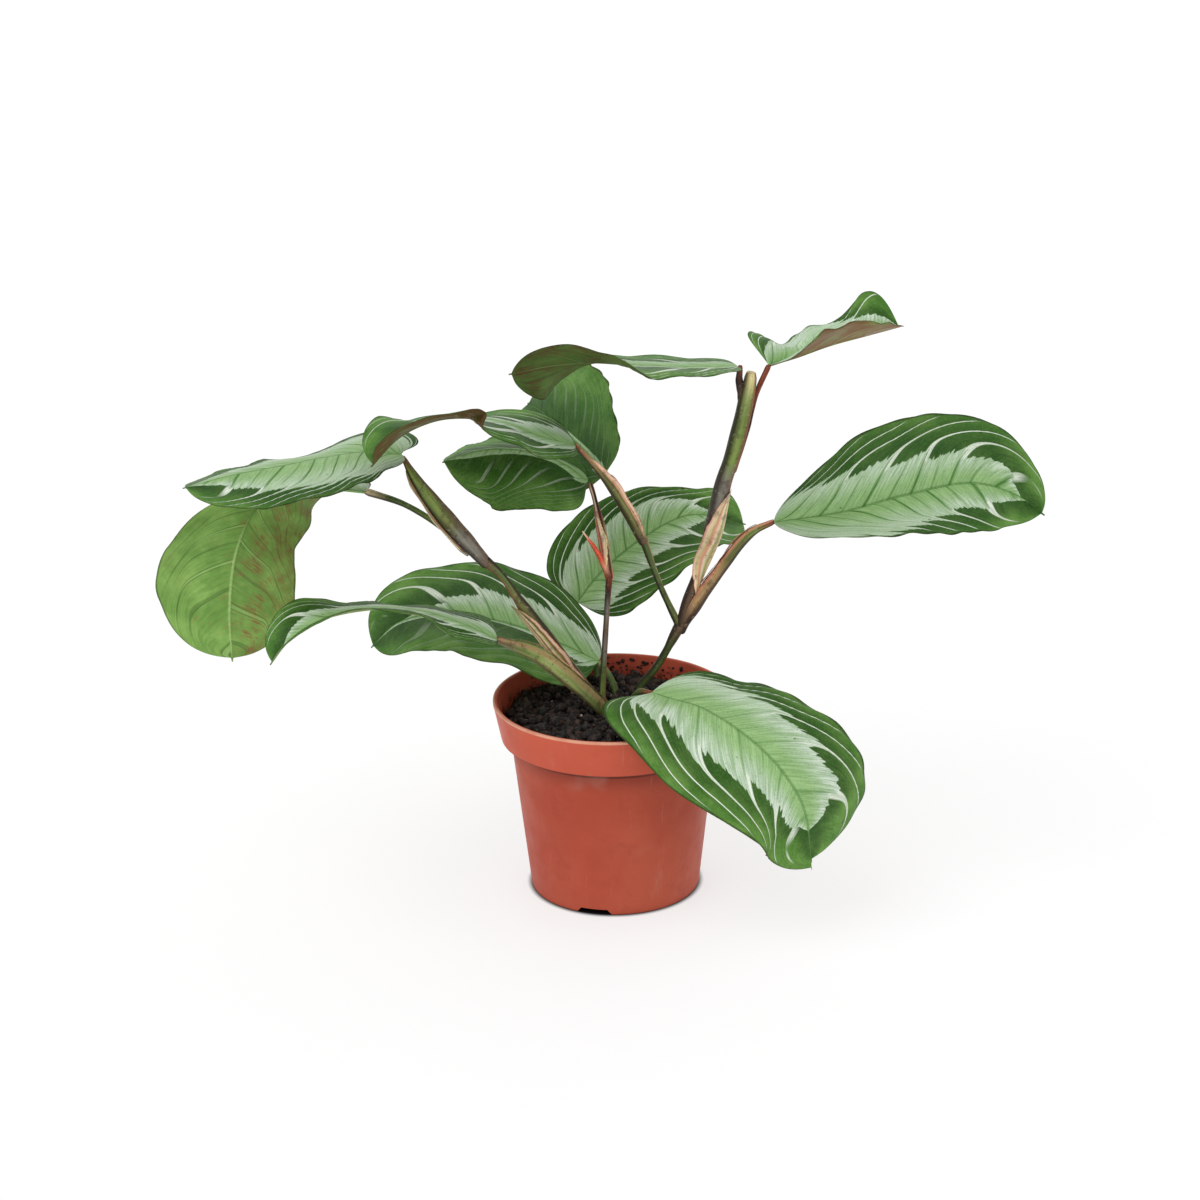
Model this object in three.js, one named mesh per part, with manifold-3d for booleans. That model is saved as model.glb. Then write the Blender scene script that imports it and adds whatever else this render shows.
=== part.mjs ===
import * as THREE from 'three';
import { mergeVertices } from 'three/addons/utils/BufferGeometryUtils.js';
import Module from 'manifold-3d';

// A prayer plant in a clay-coloured nursery pot: soil, jointed stems and twelve patterned leaves.
// Millimetres, +Z up. The origin is the centre of the pot's foot on the ground.
// The side of the plant that is usually seen faces -Y.

// Driving dimensions
const rimRadius = 60;
const potHeight = 100;
const footRadius = 42.5;
const bodyTopRadius = 51.5;
const collarHeight = 19.6;
const collarFootRadius = 56.3;
const wall = 1.6;
const floorThickness = 5;
const soilDepthBelowRim = 10;
const bladeThickness = 0.8;
const clearance = 0.3;

// Counts that set how fine the solids are
const potSides = 64;
const soilSides = 40;
const leafRows = 16;
const leafColumns = 5;
const stemSides = 8;

const wasm = await Module();
wasm.setup();

const point = (list) => new THREE.Vector3(...list);
const radians = THREE.MathUtils.degToRad;

// A smooth value at share s of a list of values that are evenly spaced along a leaf
function along(values, s) {
  const last = values.length - 1;
  const place = Math.min(s * last, last - 1e-6);
  const i = Math.floor(place);
  const t = place - i;
  const before = values[Math.max(i - 1, 0)];
  const a = values[i];
  const b = values[i + 1];
  const after = values[Math.min(i + 2, last)];
  const rise = (b - before) / 2;
  const fall = (after - a) / 2;
  return a + t * (rise + t * (3 * (b - a) - 2 * rise - fall + t * (2 * (a - b) + rise + fall)));
}

// A closed mesh from vertices and triangles, faces pointing out
function meshGeometry(vertices, triangles) {
  const geometry = new THREE.BufferGeometry();
  geometry.setAttribute('position', new THREE.Float32BufferAttribute(vertices, 3));
  geometry.setIndex(triangles);
  return geometry;
}

function toSolid(geometry) {
  const bare = geometry.clone();
  bare.deleteAttribute('normal');
  bare.deleteAttribute('uv');
  const merged = mergeVertices(bare, 1e-4);
  const vertProperties = new Float32Array(merged.attributes.position.array);
  const triVerts = new Uint32Array(merged.index.array);
  return new wasm.Manifold(new wasm.Mesh({ numProp: 3, vertProperties, triVerts }));
}

function fromSolid(solid) {
  const mesh = solid.getMesh();
  return meshGeometry(Array.from(mesh.vertProperties), Array.from(mesh.triVerts));
}

const group = new THREE.Group();

function addPart(name, geometry, look) {
  const material = new THREE.MeshStandardMaterial({
    color: look.color,
    roughness: look.roughness,
    metalness: 0,
  });
  const mesh = new THREE.Mesh(geometry, material);
  mesh.name = name;
  group.add(mesh);
}

const terracotta = { color: 0xb25442, roughness: 0.55 };
const darkSoil = { color: 0x241c18, roughness: 0.95 };
const stemGreen = { color: 0x6e7350, roughness: 0.6 };
const petioleGreen = { color: 0x7d8a54, roughness: 0.6 };
const leafGreen = { color: 0x4f8540, roughness: 0.45 };

// The pot: tapered wall, stepped collar, rounded lip, and a floor with drainage channels
const collarFoot = potHeight - collarHeight;
const lip = 0.7;
const channelWidth = 18.5;
const channelTopWidth = 13.5;
const channelHeight = 3;
const hubRadius = 15;
const drainRadius = 4;
const drainRing = 29;
const channelTurn = -15;
const channelCount = 3;

function potProfile() {
  const innerFoot = footRadius - wall + 0.3;
  return [
    [0, 0],
    [footRadius - 1, 0],
    [footRadius, 1],
    [bodyTopRadius, collarFoot - 0.4],
    [bodyTopRadius + 0.5, collarFoot],
    [collarFootRadius - 0.5, collarFoot],
    [collarFootRadius, collarFoot + 0.6],
    [rimRadius - 0.3, potHeight - 2.2],
    [rimRadius, potHeight - 1.8],
    [rimRadius, potHeight - lip],
    [rimRadius - lip, potHeight],
    [rimRadius - wall - 0.2, potHeight],
    [rimRadius - wall - 0.6, potHeight - lip],
    [collarFootRadius - wall, collarFoot + wall + 0.6],
    [collarFootRadius - wall - 0.6, collarFoot + wall],
    [bodyTopRadius - wall + 0.4, collarFoot + wall],
    [bodyTopRadius - wall, collarFoot + wall - 0.6],
    [innerFoot, floorThickness + 1],
    [innerFoot - 1, floorThickness],
    [0, floorThickness],
  ].map(([r, z]) => new THREE.Vector2(r, z));
}

// Lathe geometry turns about Y, so it is stood up to turn about Z
function latheUp(profile, sides) {
  const geometry = new THREE.LatheGeometry(profile, sides);
  geometry.rotateX(Math.PI / 2);
  return geometry;
}

function channelCutter(turn) {
  const length = footRadius - hubRadius + 4;
  // its sides lean in by the same amount below the floor plane, so that they run through it
  const slope = (channelWidth - channelTopWidth) / 2;
  const outline = new THREE.Shape([
    new THREE.Vector2(-channelWidth / 2 - slope, -channelHeight),
    new THREE.Vector2(channelWidth / 2 + slope, -channelHeight),
    new THREE.Vector2(channelTopWidth / 2, channelHeight),
    new THREE.Vector2(-channelTopWidth / 2, channelHeight),
  ]);
  const channel = new THREE.ExtrudeGeometry(outline, { depth: length, bevelEnabled: false });
  channel.rotateX(Math.PI / 2);
  channel.rotateZ(Math.PI / 2);
  channel.translate(hubRadius, 0, 0);
  channel.rotateZ(radians(turn));
  return toSolid(channel);
}

function drainCutter(turn) {
  const hole = new THREE.CylinderGeometry(drainRadius, drainRadius, floorThickness * 3, 16);
  hole.rotateX(Math.PI / 2);
  hole.translate(drainRing, 0, 0);
  hole.rotateZ(radians(turn));
  return toSolid(hole);
}

function makePot() {
  let pot = toSolid(latheUp(potProfile(), potSides));
  for (let k = 0; k < channelCount; k += 1) {
    const turn = -90 + channelTurn + (360 / channelCount) * k;
    pot = pot.subtract(channelCutter(turn));
    pot = pot.subtract(drainCutter(turn));
  }
  return fromSolid(pot);
}

// Soil: fills the pot, its top a crumbly mound that is highest at the front left
const soilTop = potHeight - soilDepthBelowRim;
const soilRings = 8;

function soilHeight(x, y) {
  const mound = 3.6 * Math.exp(-((x + 14) ** 2 + (y + 22) ** 2) / 900);
  const dip = -1.4 * Math.exp(-((x - 20) ** 2 + (y - 34) ** 2) / 500);
  const clods = 0.7 * Math.sin(0.31 * x + 0.8) * Math.sin(0.37 * y + 0.4);
  const crumbs = 0.4 * Math.sin(0.83 * x - 0.29 * y) * Math.cos(0.71 * y + 0.33 * x);
  return soilTop + mound + dip + clods + crumbs;
}

function soilGeometry() {
  const sideGap = clearance + 0.1;
  const shoulder = collarFoot + wall;
  const wallAt = (z) => {
    const share = (z - collarFoot - wall) / (potHeight - lip - collarFoot - wall);
    return collarFootRadius - wall + share * (rimRadius - 0.6 - collarFootRadius) - sideGap;
  };
  const vertices = [];
  const triangles = [];
  const ring = (radius, height) => {
    const first = vertices.length / 3;
    for (let k = 0; k < soilSides; k += 1) {
      const a = (k / soilSides) * 2 * Math.PI;
      const x = radius * Math.cos(a);
      const y = radius * Math.sin(a);
      vertices.push(x, y, height(x, y));
    }
    return first;
  };
  const join = (inner, outer) => {
    for (let k = 0; k < soilSides; k += 1) {
      const next = (k + 1) % soilSides;
      triangles.push(inner + k, outer + k, outer + next);
      triangles.push(inner + k, outer + next, inner + next);
    }
  };
  vertices.push(0, 0, soilHeight(0, 0));
  const outerRadius = wallAt(soilTop - 2);
  let last = 0;
  for (let r = 1; r <= soilRings; r += 1) {
    const now = ring((outerRadius * r) / soilRings, soilHeight);
    if (r === 1) {
      for (let k = 0; k < soilSides; k += 1) {
        triangles.push(0, now + k, now + ((k + 1) % soilSides));
      }
    } else {
      join(last, now);
    }
    last = now;
  }
  const steps = [
    [wallAt(shoulder + 1), shoulder + 1 + sideGap],
    [collarFootRadius - wall - 0.8 - sideGap, shoulder + sideGap],
    [bodyTopRadius - wall - sideGap, shoulder + sideGap],
    [bodyTopRadius - wall - 0.1 - sideGap, shoulder - 0.8],
    [footRadius - wall + 0.1 - sideGap, floorThickness + 1],
    [footRadius - wall - 1.2 - sideGap, floorThickness + sideGap],
  ];
  for (const [radius, z] of steps) {
    const now = ring(radius, () => z);
    join(last, now);
    last = now;
  }
  const bottom = vertices.length / 3;
  vertices.push(0, 0, floorThickness + sideGap);
  for (let k = 0; k < soilSides; k += 1) {
    triangles.push(bottom, last + ((k + 1) % soilSides), last + k);
  }
  return meshGeometry(vertices, triangles);
}

// A round stem along a smooth curve, its radius changing from one listed value to the next
function stemGeometry({ route, radii, steps = 12 }, grow = 0) {
  const sides = stemSides;
  const curve = new THREE.CatmullRomCurve3(route.map(point), false, 'centripetal');
  const frames = curve.computeFrenetFrames(steps, false);
  const vertices = [];
  const triangles = [];
  for (let i = 0; i <= steps; i += 1) {
    const s = i / steps;
    const centre = curve.getPointAt(s);
    if (i === 0) centre.addScaledVector(frames.tangents[0], -grow);
    if (i === steps) centre.addScaledVector(frames.tangents[steps], grow);
    const radius = along(radii, s) + grow;
    for (let k = 0; k < sides; k += 1) {
      const a = (k / sides) * 2 * Math.PI;
      const rim = centre.clone();
      rim.addScaledVector(frames.normals[i], radius * Math.cos(a));
      rim.addScaledVector(frames.binormals[i], radius * Math.sin(a));
      vertices.push(rim.x, rim.y, rim.z);
    }
  }
  for (let i = 0; i < steps; i += 1) {
    for (let k = 0; k < sides; k += 1) {
      const next = (k + 1) % sides;
      const a = i * sides + k;
      const b = i * sides + next;
      triangles.push(a, b, b + sides);
      triangles.push(a, b + sides, a + sides);
    }
  }
  for (let k = 1; k < sides - 1; k += 1) {
    const end = steps * sides;
    triangles.push(0, k + 1, k);
    triangles.push(end, end + k, end + k + 1);
  }
  return meshGeometry(vertices, triangles);
}

function stemSolid(stem, grow = 0) {
  return toSolid(stemGeometry(stem, grow));
}

function joinStems(stems) {
  return stems.map((stem) => stemSolid(stem)).reduce((whole, next) => whole.add(next));
}

// The right-hand stem: it forks at a swollen joint into two sheathed shoots and a thin side shoot
const rightStem = [
  { route: [[10, 32, 80], [12, 31, 90], [22.8, 29, 105], [34, 28, 126]], radii: [2.0, 2.0, 2.0, 2.0, 3.0] },
  { route: [[34, 28, 123], [37, 28, 130], [51.8, 27, 152.6], [69.4, 24, 176.4], [80.2, 22, 182.8]],
    radii: [2.6, 3.7, 3.1, 2.9, 2.5, 1.4] },
  { route: [[35, 28, 126], [37.7, 28, 138], [43.3, 29, 153], [50, 30, 172], [56.4, 31, 201], [60.3, 31.5, 213],
      [65.4, 32, 233], [67.6, 32, 244], [69, 31.6, 251], [69.8, 31, 256.5]],
    radii: [3.0, 2.8, 2.7, 3.5, 4.6, 4.4, 4.1, 4.1, 4.2, 4.0, 3.0], steps: 16 },
  { route: [[66, 32, 238], [65.4, 31.8, 246], [64, 31.2, 253.5], [64.5, 30.3, 260.2]],
    radii: [2.4, 2.3, 1.9, 1.3], steps: 6 },
  { route: [[61, 32, 206], [68, 34, 227], [72.6, 35, 245], [78.6, 37.6, 258.1]], radii: [1.6, 1.4, 1.3, 1.4] },
  { route: [[34, 28, 126], [23.9, 27, 150.1], [16, 26, 174]], radii: [2.0, 1.6, 1.6, 2.2], steps: 8 },
  { route: [[16.7, 26, 171.5], [9.5, 22.5, 187.2], [-0.2, 16, 206.1], [-8.3, 11.8, 217.9], [-16.3, 10.4, 227.6]],
    radii: [2.5, 2.7, 2.7, 2.5, 1.7, 1.3] },
  { route: [[9.5, 25, 190], [4.9, 30, 199.5], [1, 36, 203], [-2.4, 41.2, 202]], radii: [1.2, 1.1, 0.9, 1.2] },
];

// The thin upright stem in the middle, with a short pointed bud at its joint
const middleStem = [
  { route: [[-6, 12, 80], [-5.3, 14, 97.9], [-3.9, 19, 116.8], [-2.1, 24.5, 140.7], [-0.9, 27, 155.1]], radii: [1.9, 1.9, 1.6, 1.45, 1.45, 1.8] },
  { route: [[-0.8, 27, 152.5], [-4, 30, 173.6], [-8, 32.8, 194], [-9.6, 33, 200]], radii: [2.2, 2.6, 2.6, 2.3, 1.3, 1.3] },
  { route: [[-1.1, 26.4, 154], [-7.3, 25, 168.3], [-13.5, 24, 178.2]], radii: [1.7, 1.5, 1.1, 0.4], steps: 6 },
];

// The left-hand stem, leaning out and forking to the two far left leaves
const leftStem = [
  { route: [[-4, 8, 82], [-7, 6, 91], [-24, -3, 120], [-43.8, -6.8, 151.5], [-54, -7.6, 168], [-62, -8, 176]],
    radii: [3.0, 3.2, 3.4, 3.6, 3.7, 3.7, 3.5, 3.0, 2.1, 1.9, 2.8] },
  { route: [[-60, -8, 173], [-80, -8, 197.5], [-93.5, -4, 215.5], [-100, 3.6, 224.6]],
    radii: [2.8, 4.2, 4.4, 3.2, 1.3] },
  { route: [[-60, -8, 173], [-66, -6, 178], [-83, 2, 190], [-101, 10, 199], [-119.2, 17.8, 203]],
    radii: [1.8, 1.8, 1.5, 1.5, 1.9] },
];

// Short leaf stalks that rise straight from the soil
const lowStalk = [
  { route: [[-1, -2, 84], [-5, -5, 94], [-21, -14, 115.2], [-38, -22, 132.2], [-55.5, -27.7, 141.6]],
    radii: [3.4, 3.5, 3.9, 4.2, 4.2, 3.5, 1.9] },
];
const frontStalk = [
  { route: [[4, 4, 82], [8, 0, 95], [13, -12, 107], [18.6, -27.4, 112.4]], radii: [1.8, 1.7, 1.6, 1.2] },
];
const rearLowStalk = [
  { route: [[2, 25, 82], [1, 28, 93], [-3, 32, 101], [-6.2, 35.2, 104.2]], radii: [1.8, 1.7, 1.6, 1.2] },
];
const rearHighStalk = [
  { route: [[-8, 44, 82], [-8, 48, 97], [-10, 57, 107], [-13, 68, 114], [-17.2, 76.4, 119.6]],
    radii: [1.8, 1.7, 1.6, 1.5, 1.2] },
];

const stems = [
  { name: 'stem_right', pieces: rightStem, look: stemGreen },
  { name: 'stem_middle', pieces: middleStem, look: stemGreen },
  { name: 'stem_left', pieces: leftStem, look: stemGreen },
  { name: 'stalk_low', pieces: lowStalk, look: petioleGreen },
  { name: 'stalk_front', pieces: frontStalk, look: petioleGreen },
  { name: 'stalk_rear_low', pieces: rearLowStalk, look: petioleGreen },
  { name: 'stalk_rear_high', pieces: rearHighStalk, look: petioleGreen },
];

// Leaves. Each follows its midrib from the stalk to the tip.
// half: half the blade's width. full and lean: how blunt the outline is, and how far forward it is widest.
// left and right: how many degrees each half stands above the flat at even steps along the midrib.
// curlLeft and curlRight: how many degrees each half arches over between midrib and margin.
// wideLeft and wideRight: share of the half width. slideLeft and slideRight: mm the margin runs ahead.
// lobeLeft and lobeRight: mm that the base runs back beside the stalk. wave: mm the margin waves.
const plainLeaf = {
  up: [0, 0, 1],
  full: 2.3,
  lean: 0.9,
  curlLeft: [4, 6, 4],
  curlRight: [4, 6, 4],
  wideLeft: [1, 1],
  wideRight: [1, 1],
  slideLeft: [0, 0],
  slideRight: [0, 0],
  lobeLeft: 4,
  lobeRight: 4,
  wave: 0.8,
  waves: 4,
  phase: 0,
};

const leaves = [
  { name: 'leaf_01', half: 41, full: 2.6, lean: 1.2,
    midrib: [[19, -28, 113], [30, -38, 113], [42, -48, 113], [62, -60, 104], [79, -68, 89], [90, -74, 71],
      [94, -76, 43]],
    left: [24, 4, 18, 20, 20],
    right: [-10, -12, -40, -54, -50, -45, -40],
    curlLeft: [10, 15, 15],
    curlRight: [20, 40, 40, 30, 20],
    wideLeft: [1.1, 1.02, 1, 1.18, 1.2],
    wideRight: [1, 1.14, 1.14, 0.95, 0.73, 0.68, 0.8],
    slideRight: [0, 0, 4, 14, 20, 12, 4],
    lobeLeft: 2,
    lobeRight: 24 },
  { name: 'leaf_02', half: 38, full: 2.4, lean: 1.25,
    midrib: [[81, 22, 183], [114, 20, 188], [145, 15, 198], [178, 8, 206], [199, 2, 201], [211, -4, 193]],
    left: [50, 58, 60, 60, 60],
    right: [-10, -6, -14, -24, -22],
    curlLeft: [0, 10, 10],
    curlRight: [0, 10, 20],
    wideLeft: [0.8, 0.97, 1.02, 0.88, 0.45],
    lobeLeft: 0,
    lobeRight: 0 },
  { name: 'leaf_03', half: 26, lean: 0.75,
    midrib: [[79, 38, 259], [93, 52, 259], [111, 66, 261], [131, 80, 262], [149, 92, 263]],
    left: [40, 30, -2, 4, 8, 44, 60],
    right: [20, 38, 40, 36, 26, 20],
    curlLeft: [40, 20, 0, 0, 0],
    wideLeft: [1.2, 1, 0.8, 0.86, 1, 1.03, 0.9, 1.48, 2.2],
    lobeLeft: 4 },
  { name: 'leaf_04', half: 34,
    midrib: [[63, 30, 261], [40, 26, 262], [15, 20, 265], [-7, 12, 269], [-28, 4, 270], [-48, 0, 267]],
    left: [8, 8, 6, 4, 20, 36, 38],
    right: [-5, -6, -6, -8, -28, -56, -60],
    wideLeft: [1, 1, 1, 1.05, 1.2],
    wideRight: [1, 1, 1, 1, 1.1] },
  { name: 'leaf_05', half: 30, full: 2.4,
    midrib: [[-3, 42, 202], [-12, 62, 208], [-25, 86, 214], [-35, 106, 217], [-42, 124, 216]],
    left: [-40, -42, -40, -35, -30],
    right: [60, 66, 67, 66, 60],
    wideLeft: [0.8, 0.85, 0.9, 1],
    wideRight: [0.95, 0.92, 1.18, 1.25, 1.15, 1, 1] },
  { name: 'leaf_06', half: 30,
    midrib: [[-17, 10, 228], [-34, 0, 236], [-52, -8, 246], [-74, -14, 250], [-88, -28, 251],
      [-100, -38, 247], [-112, -46, 236]],
    left: [-25, -28, -12, 8, 22, 36, 60],
    right: [28, 20, -5, -14, -10, 10, 35],
    wideLeft: [0.6, 0.6, 0.9, 1, 1, 1, 1] },
  { name: 'leaf_07', half: 31.5, lean: 0.8,
    midrib: [[-11, 34, 202], [-25, 32, 213], [-44, 26, 221], [-64, 20, 223], [-82, 14, 219]],
    left: [-30, -47, -53, -55, -50],
    right: [5, -5, -4, -12, -14],
    wideLeft: [0.95, 0.94, 1, 1.18, 1.3],
    lobeLeft: 6 },
  { name: 'leaf_08', half: 35, lean: 0.85,
    midrib: [[-101, 5, 226], [-119, -3, 230], [-138, -14, 231], [-156, -26, 231], [-178, -36, 230],
      [-201, -46, 227]],
    left: [-4, -6, -11, -18, -22],
    right: [42, 12, -12, -14, -12, -13, -14, -13],
    wideLeft: [1, 1.05, 1, 1, 1],
    wideRight: [0.3, 0.9, 1, 1, 1, 1, 1, 1],
    lobeLeft: -6,
    lobeRight: 20 },
  { name: 'leaf_09', half: 40, up: [0, 1, 0], full: 2.7,
    midrib: [[-120, 18, 203], [-141, 22, 204], [-160, 24, 203], [-175, 24, 194], [-185, 16, 175],
      [-190, 13, 144], [-190, 12, 117]],
    left: [-70, -70, -60, -20, 0, 0, 0],
    right: [90, 75, 35, 20, 20, 10, 0],
    wideLeft: [0.6, 0.6, 0.45, 0.72, 0.97, 1.04, 1.1],
    wideRight: [0.8, 0.8, 0.85, 0.75, 0.85, 1, 1.1],
    slideLeft: [0, 0, 0, 10, 8, 0, 0] },
  { name: 'leaf_10', half: 27,
    midrib: [[-56, -28, 142], [-71, -36, 153], [-90, -42, 162], [-113, -48, 166], [-139, -52, 162],
      [-154, -56, 153], [-163, -58, 142]],
    left: [-30, -30, 10, 20, 20, 20],
    right: [35, 2, -12, -14, -5, 25, 40],
    wideLeft: [0.4, 0.5, 0.9, 1, 1] },
  { name: 'leaf_11', half: 42,
    midrib: [[-7, 36, 105], [-27, 42, 113], [-52, 46, 122], [-82, 48, 127], [-108, 46, 124], [-123, 44, 111]],
    left: [-20, -8, -8, -8, -20],
    right: [30, 22, 20, 20, 20],
    wideRight: [0.55, 0.95, 1.05, 1, 1.1],
    lobeRight: 0 },
  { name: 'leaf_12', half: 35, full: 2.6,
    midrib: [[-17.6, 78.4, 121.4], [-6, 88, 133], [16, 100, 148], [42, 112, 157], [72, 122, 148]],
    left: [40, 46, 46, 46, 46],
    right: [-20, -20, -18, -16, -16],
    wideLeft: [1, 0.94, 0.78, 0.52, 1],
    lobeRight: 5 },
].map((leaf) => ({ ...plainLeaf, ...leaf }));

// Half width of the blade as a share of its widest, with a rounded base and a short drawn-out tip
function bladeShare(leaf, s) {
  const bodyEnd = 0.985;
  const x = Math.min(s / bodyEnd, 1) ** leaf.lean;
  const body = Math.sqrt(Math.max(0, 1 - Math.abs(2 * x - 1) ** leaf.full));
  const tip = s > 0.5 ? 0.06 * Math.min((1 - s) / 0.05, 1) : 0;
  return Math.max(body, tip);
}

// How far a half reaches sideways and upwards at share v of its arc
function arc(angle, curl, v) {
  if (Math.abs(curl) < 1e-3) return [v * Math.cos(angle), v * Math.sin(angle)];
  const start = angle + curl / 2;
  const end = start - curl * v;
  return [(Math.sin(start) - Math.sin(end)) / curl, (Math.cos(end) - Math.cos(start)) / curl];
}

function leafSurface(leaf) {
  const curve = new THREE.CatmullRomCurve3(leaf.midrib.map(point), false, 'centripetal');
  const up = point(leaf.up);
  const stalkHalf = 1.2;
  const lobeShare = 0.1;
  const rows = [];
  for (let i = 0; i <= leafRows; i += 1) {
    const s = (1 - Math.cos((Math.PI * i) / leafRows)) / 2;
    const centre = curve.getPointAt(s);
    const ahead = curve.getTangentAt(s);
    const across = new THREE.Vector3().crossVectors(ahead, up).normalize();
    const above = new THREE.Vector3().crossVectors(across, ahead);
    const row = [];
    for (let j = -leafColumns; j <= leafColumns; j += 1) {
      const side = Math.sign(j);
      const v = Math.abs(j) / leafColumns;
      const isRight = side > 0;
      const angle = radians(along(isRight ? leaf.right : leaf.left, s));
      const curl = radians(along(isRight ? leaf.curlRight : leaf.curlLeft, s));
      const share = bladeShare(leaf, s) * along(isRight ? leaf.wideRight : leaf.wideLeft, s);
      const width = Math.max(leaf.half * share, stalkHalf * (1 - s), 0.4);
      const lobe = isRight ? leaf.lobeRight : leaf.lobeLeft;
      const lead = along(isRight ? leaf.slideRight : leaf.slideLeft, s);
      const slide = lead - lobe * (s / lobeShare) * Math.exp(1 - s / lobeShare);
      const [out, rise] = arc(angle, curl, v);
      const slope = angle + curl * (0.5 - v);
      const ripple = Math.sin(2 * Math.PI * leaf.waves * s + leaf.phase + side);
      const wave = leaf.wave * v * v * Math.sin(Math.PI * s) * ripple;
      const place = centre.clone();
      place.addScaledVector(across, side * (out * width - wave * Math.sin(slope)));
      place.addScaledVector(above, rise * width + wave * Math.cos(slope));
      place.addScaledVector(ahead, slide * v * v);
      row.push(place);
    }
    rows.push(row);
  }
  return rows;
}

// The blade's direction of thickness at one point of its surface
function bladeNormal(rows, i, j) {
  const before = rows[Math.max(i - 1, 0)][j];
  const after = rows[Math.min(i + 1, rows.length - 1)][j];
  const left = rows[i][Math.max(j - 1, 0)];
  const right = rows[i][Math.min(j + 1, rows[i].length - 1)];
  const ahead = new THREE.Vector3().subVectors(after, before);
  const across = new THREE.Vector3().subVectors(right, left);
  return new THREE.Vector3().crossVectors(across, ahead).normalize();
}

function leafGeometry(leaf) {
  const rows = leafSurface(leaf);
  const columns = rows[0].length;
  const count = rows.length * columns;
  const vertices = [];
  for (const face of [1, -1]) {
    rows.forEach((row, i) => {
      row.forEach((place, j) => {
        const moved = place.clone().addScaledVector(bladeNormal(rows, i, j), (face * bladeThickness) / 2);
        vertices.push(moved.x, moved.y, moved.z);
      });
    });
  }
  const triangles = [];
  const at = (i, j) => i * columns + j;
  for (let i = 0; i < rows.length - 1; i += 1) {
    for (let j = 0; j < columns - 1; j += 1) {
      const a = at(i, j);
      const b = at(i, j + 1);
      const c = at(i + 1, j + 1);
      const d = at(i + 1, j);
      triangles.push(a, b, c, a, c, d);
      triangles.push(count + a, count + c, count + b, count + a, count + d, count + c);
    }
  }
  const edge = [];
  for (let j = 0; j < columns - 1; j += 1) edge.push(at(0, j));
  for (let i = 0; i < rows.length - 1; i += 1) edge.push(at(i, columns - 1));
  for (let j = columns - 1; j > 0; j -= 1) edge.push(at(rows.length - 1, j));
  for (let i = rows.length - 1; i > 0; i -= 1) edge.push(at(i, 0));
  edge.forEach((a, k) => {
    const b = edge[(k + 1) % edge.length];
    triangles.push(a, count + a, count + b, a, count + b, b);
  });
  return meshGeometry(vertices, triangles);
}

addPart('pot', makePot(), terracotta);

let soil = toSolid(soilGeometry());
for (const { pieces } of stems) {
  soil = soil.subtract(stemSolid(pieces[0], clearance));
}
addPart('soil', fromSolid(soil), darkSoil);

for (const { name, pieces, look } of stems) {
  addPart(name, fromSolid(joinStems(pieces)), look);
}

for (const leaf of leaves) {
  addPart(leaf.name, leafGeometry(leaf), leafGreen);
}

export default group;
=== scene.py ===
import math
import random

import bmesh
import bpy
import numpy as np
from mathutils import Matrix, Quaternion, Vector, noise


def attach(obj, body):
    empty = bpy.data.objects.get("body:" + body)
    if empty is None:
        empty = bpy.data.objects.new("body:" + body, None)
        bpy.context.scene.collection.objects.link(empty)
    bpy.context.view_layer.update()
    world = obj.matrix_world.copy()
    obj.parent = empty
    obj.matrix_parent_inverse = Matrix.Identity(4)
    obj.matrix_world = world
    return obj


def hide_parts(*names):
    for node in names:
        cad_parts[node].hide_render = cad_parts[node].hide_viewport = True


# A potted prayer plant: clay-coloured nursery pot, soil, jointed stems and twelve patterned leaves.
# Every number below is in millimetres and degrees; meshes are scaled to metres as they are made.

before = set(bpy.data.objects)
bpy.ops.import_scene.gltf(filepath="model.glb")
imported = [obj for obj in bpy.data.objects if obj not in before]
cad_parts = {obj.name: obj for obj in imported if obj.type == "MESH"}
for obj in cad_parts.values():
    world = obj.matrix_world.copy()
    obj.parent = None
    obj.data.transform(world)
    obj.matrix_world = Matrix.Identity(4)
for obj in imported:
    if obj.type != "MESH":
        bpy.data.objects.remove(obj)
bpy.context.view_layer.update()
mm = 0.001
rng = random.Random(41)


def photoColour(red, green, blue):
    # a colour as it reads on screen, 0 to 255, as the shader wants it
    linear = [((c / 255 + 0.055) / 1.055) ** 2.4 if c > 10 else c / 255 / 12.92 for c in (red, green, blue)]
    return (*linear, 1.0)


# small tools for nodes
def link(tree, value, socket):
    if isinstance(value, bpy.types.NodeSocket):
        tree.links.new(value, socket)
    elif value is not None:
        socket.default_value = value


def addNode(tree, kind, inputs=None, **settings):
    node = tree.nodes.new(kind)
    for key, value in settings.items():
        setattr(node, key, value)
    for key, value in (inputs or {}).items():
        link(tree, value, node.inputs[key])
    return node


def calc(tree, operation, first, second=None, third=None, clamp=False):
    node = addNode(tree, "ShaderNodeMath", operation=operation, use_clamp=clamp)
    for socket, value in zip(node.inputs, (first, second, third)):
        link(tree, value, socket)
    return node.outputs[0]


def times(tree, first, second):
    return calc(tree, "MULTIPLY", first, second)


def plus(tree, first, second):
    return calc(tree, "ADD", first, second)


def minus(tree, first, second, clamp=False):
    return calc(tree, "SUBTRACT", first, second, clamp=clamp)


def fade(tree, value, low, high, toLow=0.0, toHigh=1.0):
    node = addNode(tree, "ShaderNodeMapRange", interpolation_type="SMOOTHSTEP")
    for socket, given in zip(node.inputs, (value, low, high, toLow, toHigh)):
        link(tree, given, socket)
    return node.outputs[0]


def mixColour(tree, factor, first, second, way="MIX"):
    node = addNode(tree, "ShaderNodeMix", data_type="RGBA", blend_type=way)
    link(tree, factor, node.inputs[0])
    link(tree, first, node.inputs[6])
    link(tree, second, node.inputs[7])
    return node.outputs[2]


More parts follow.
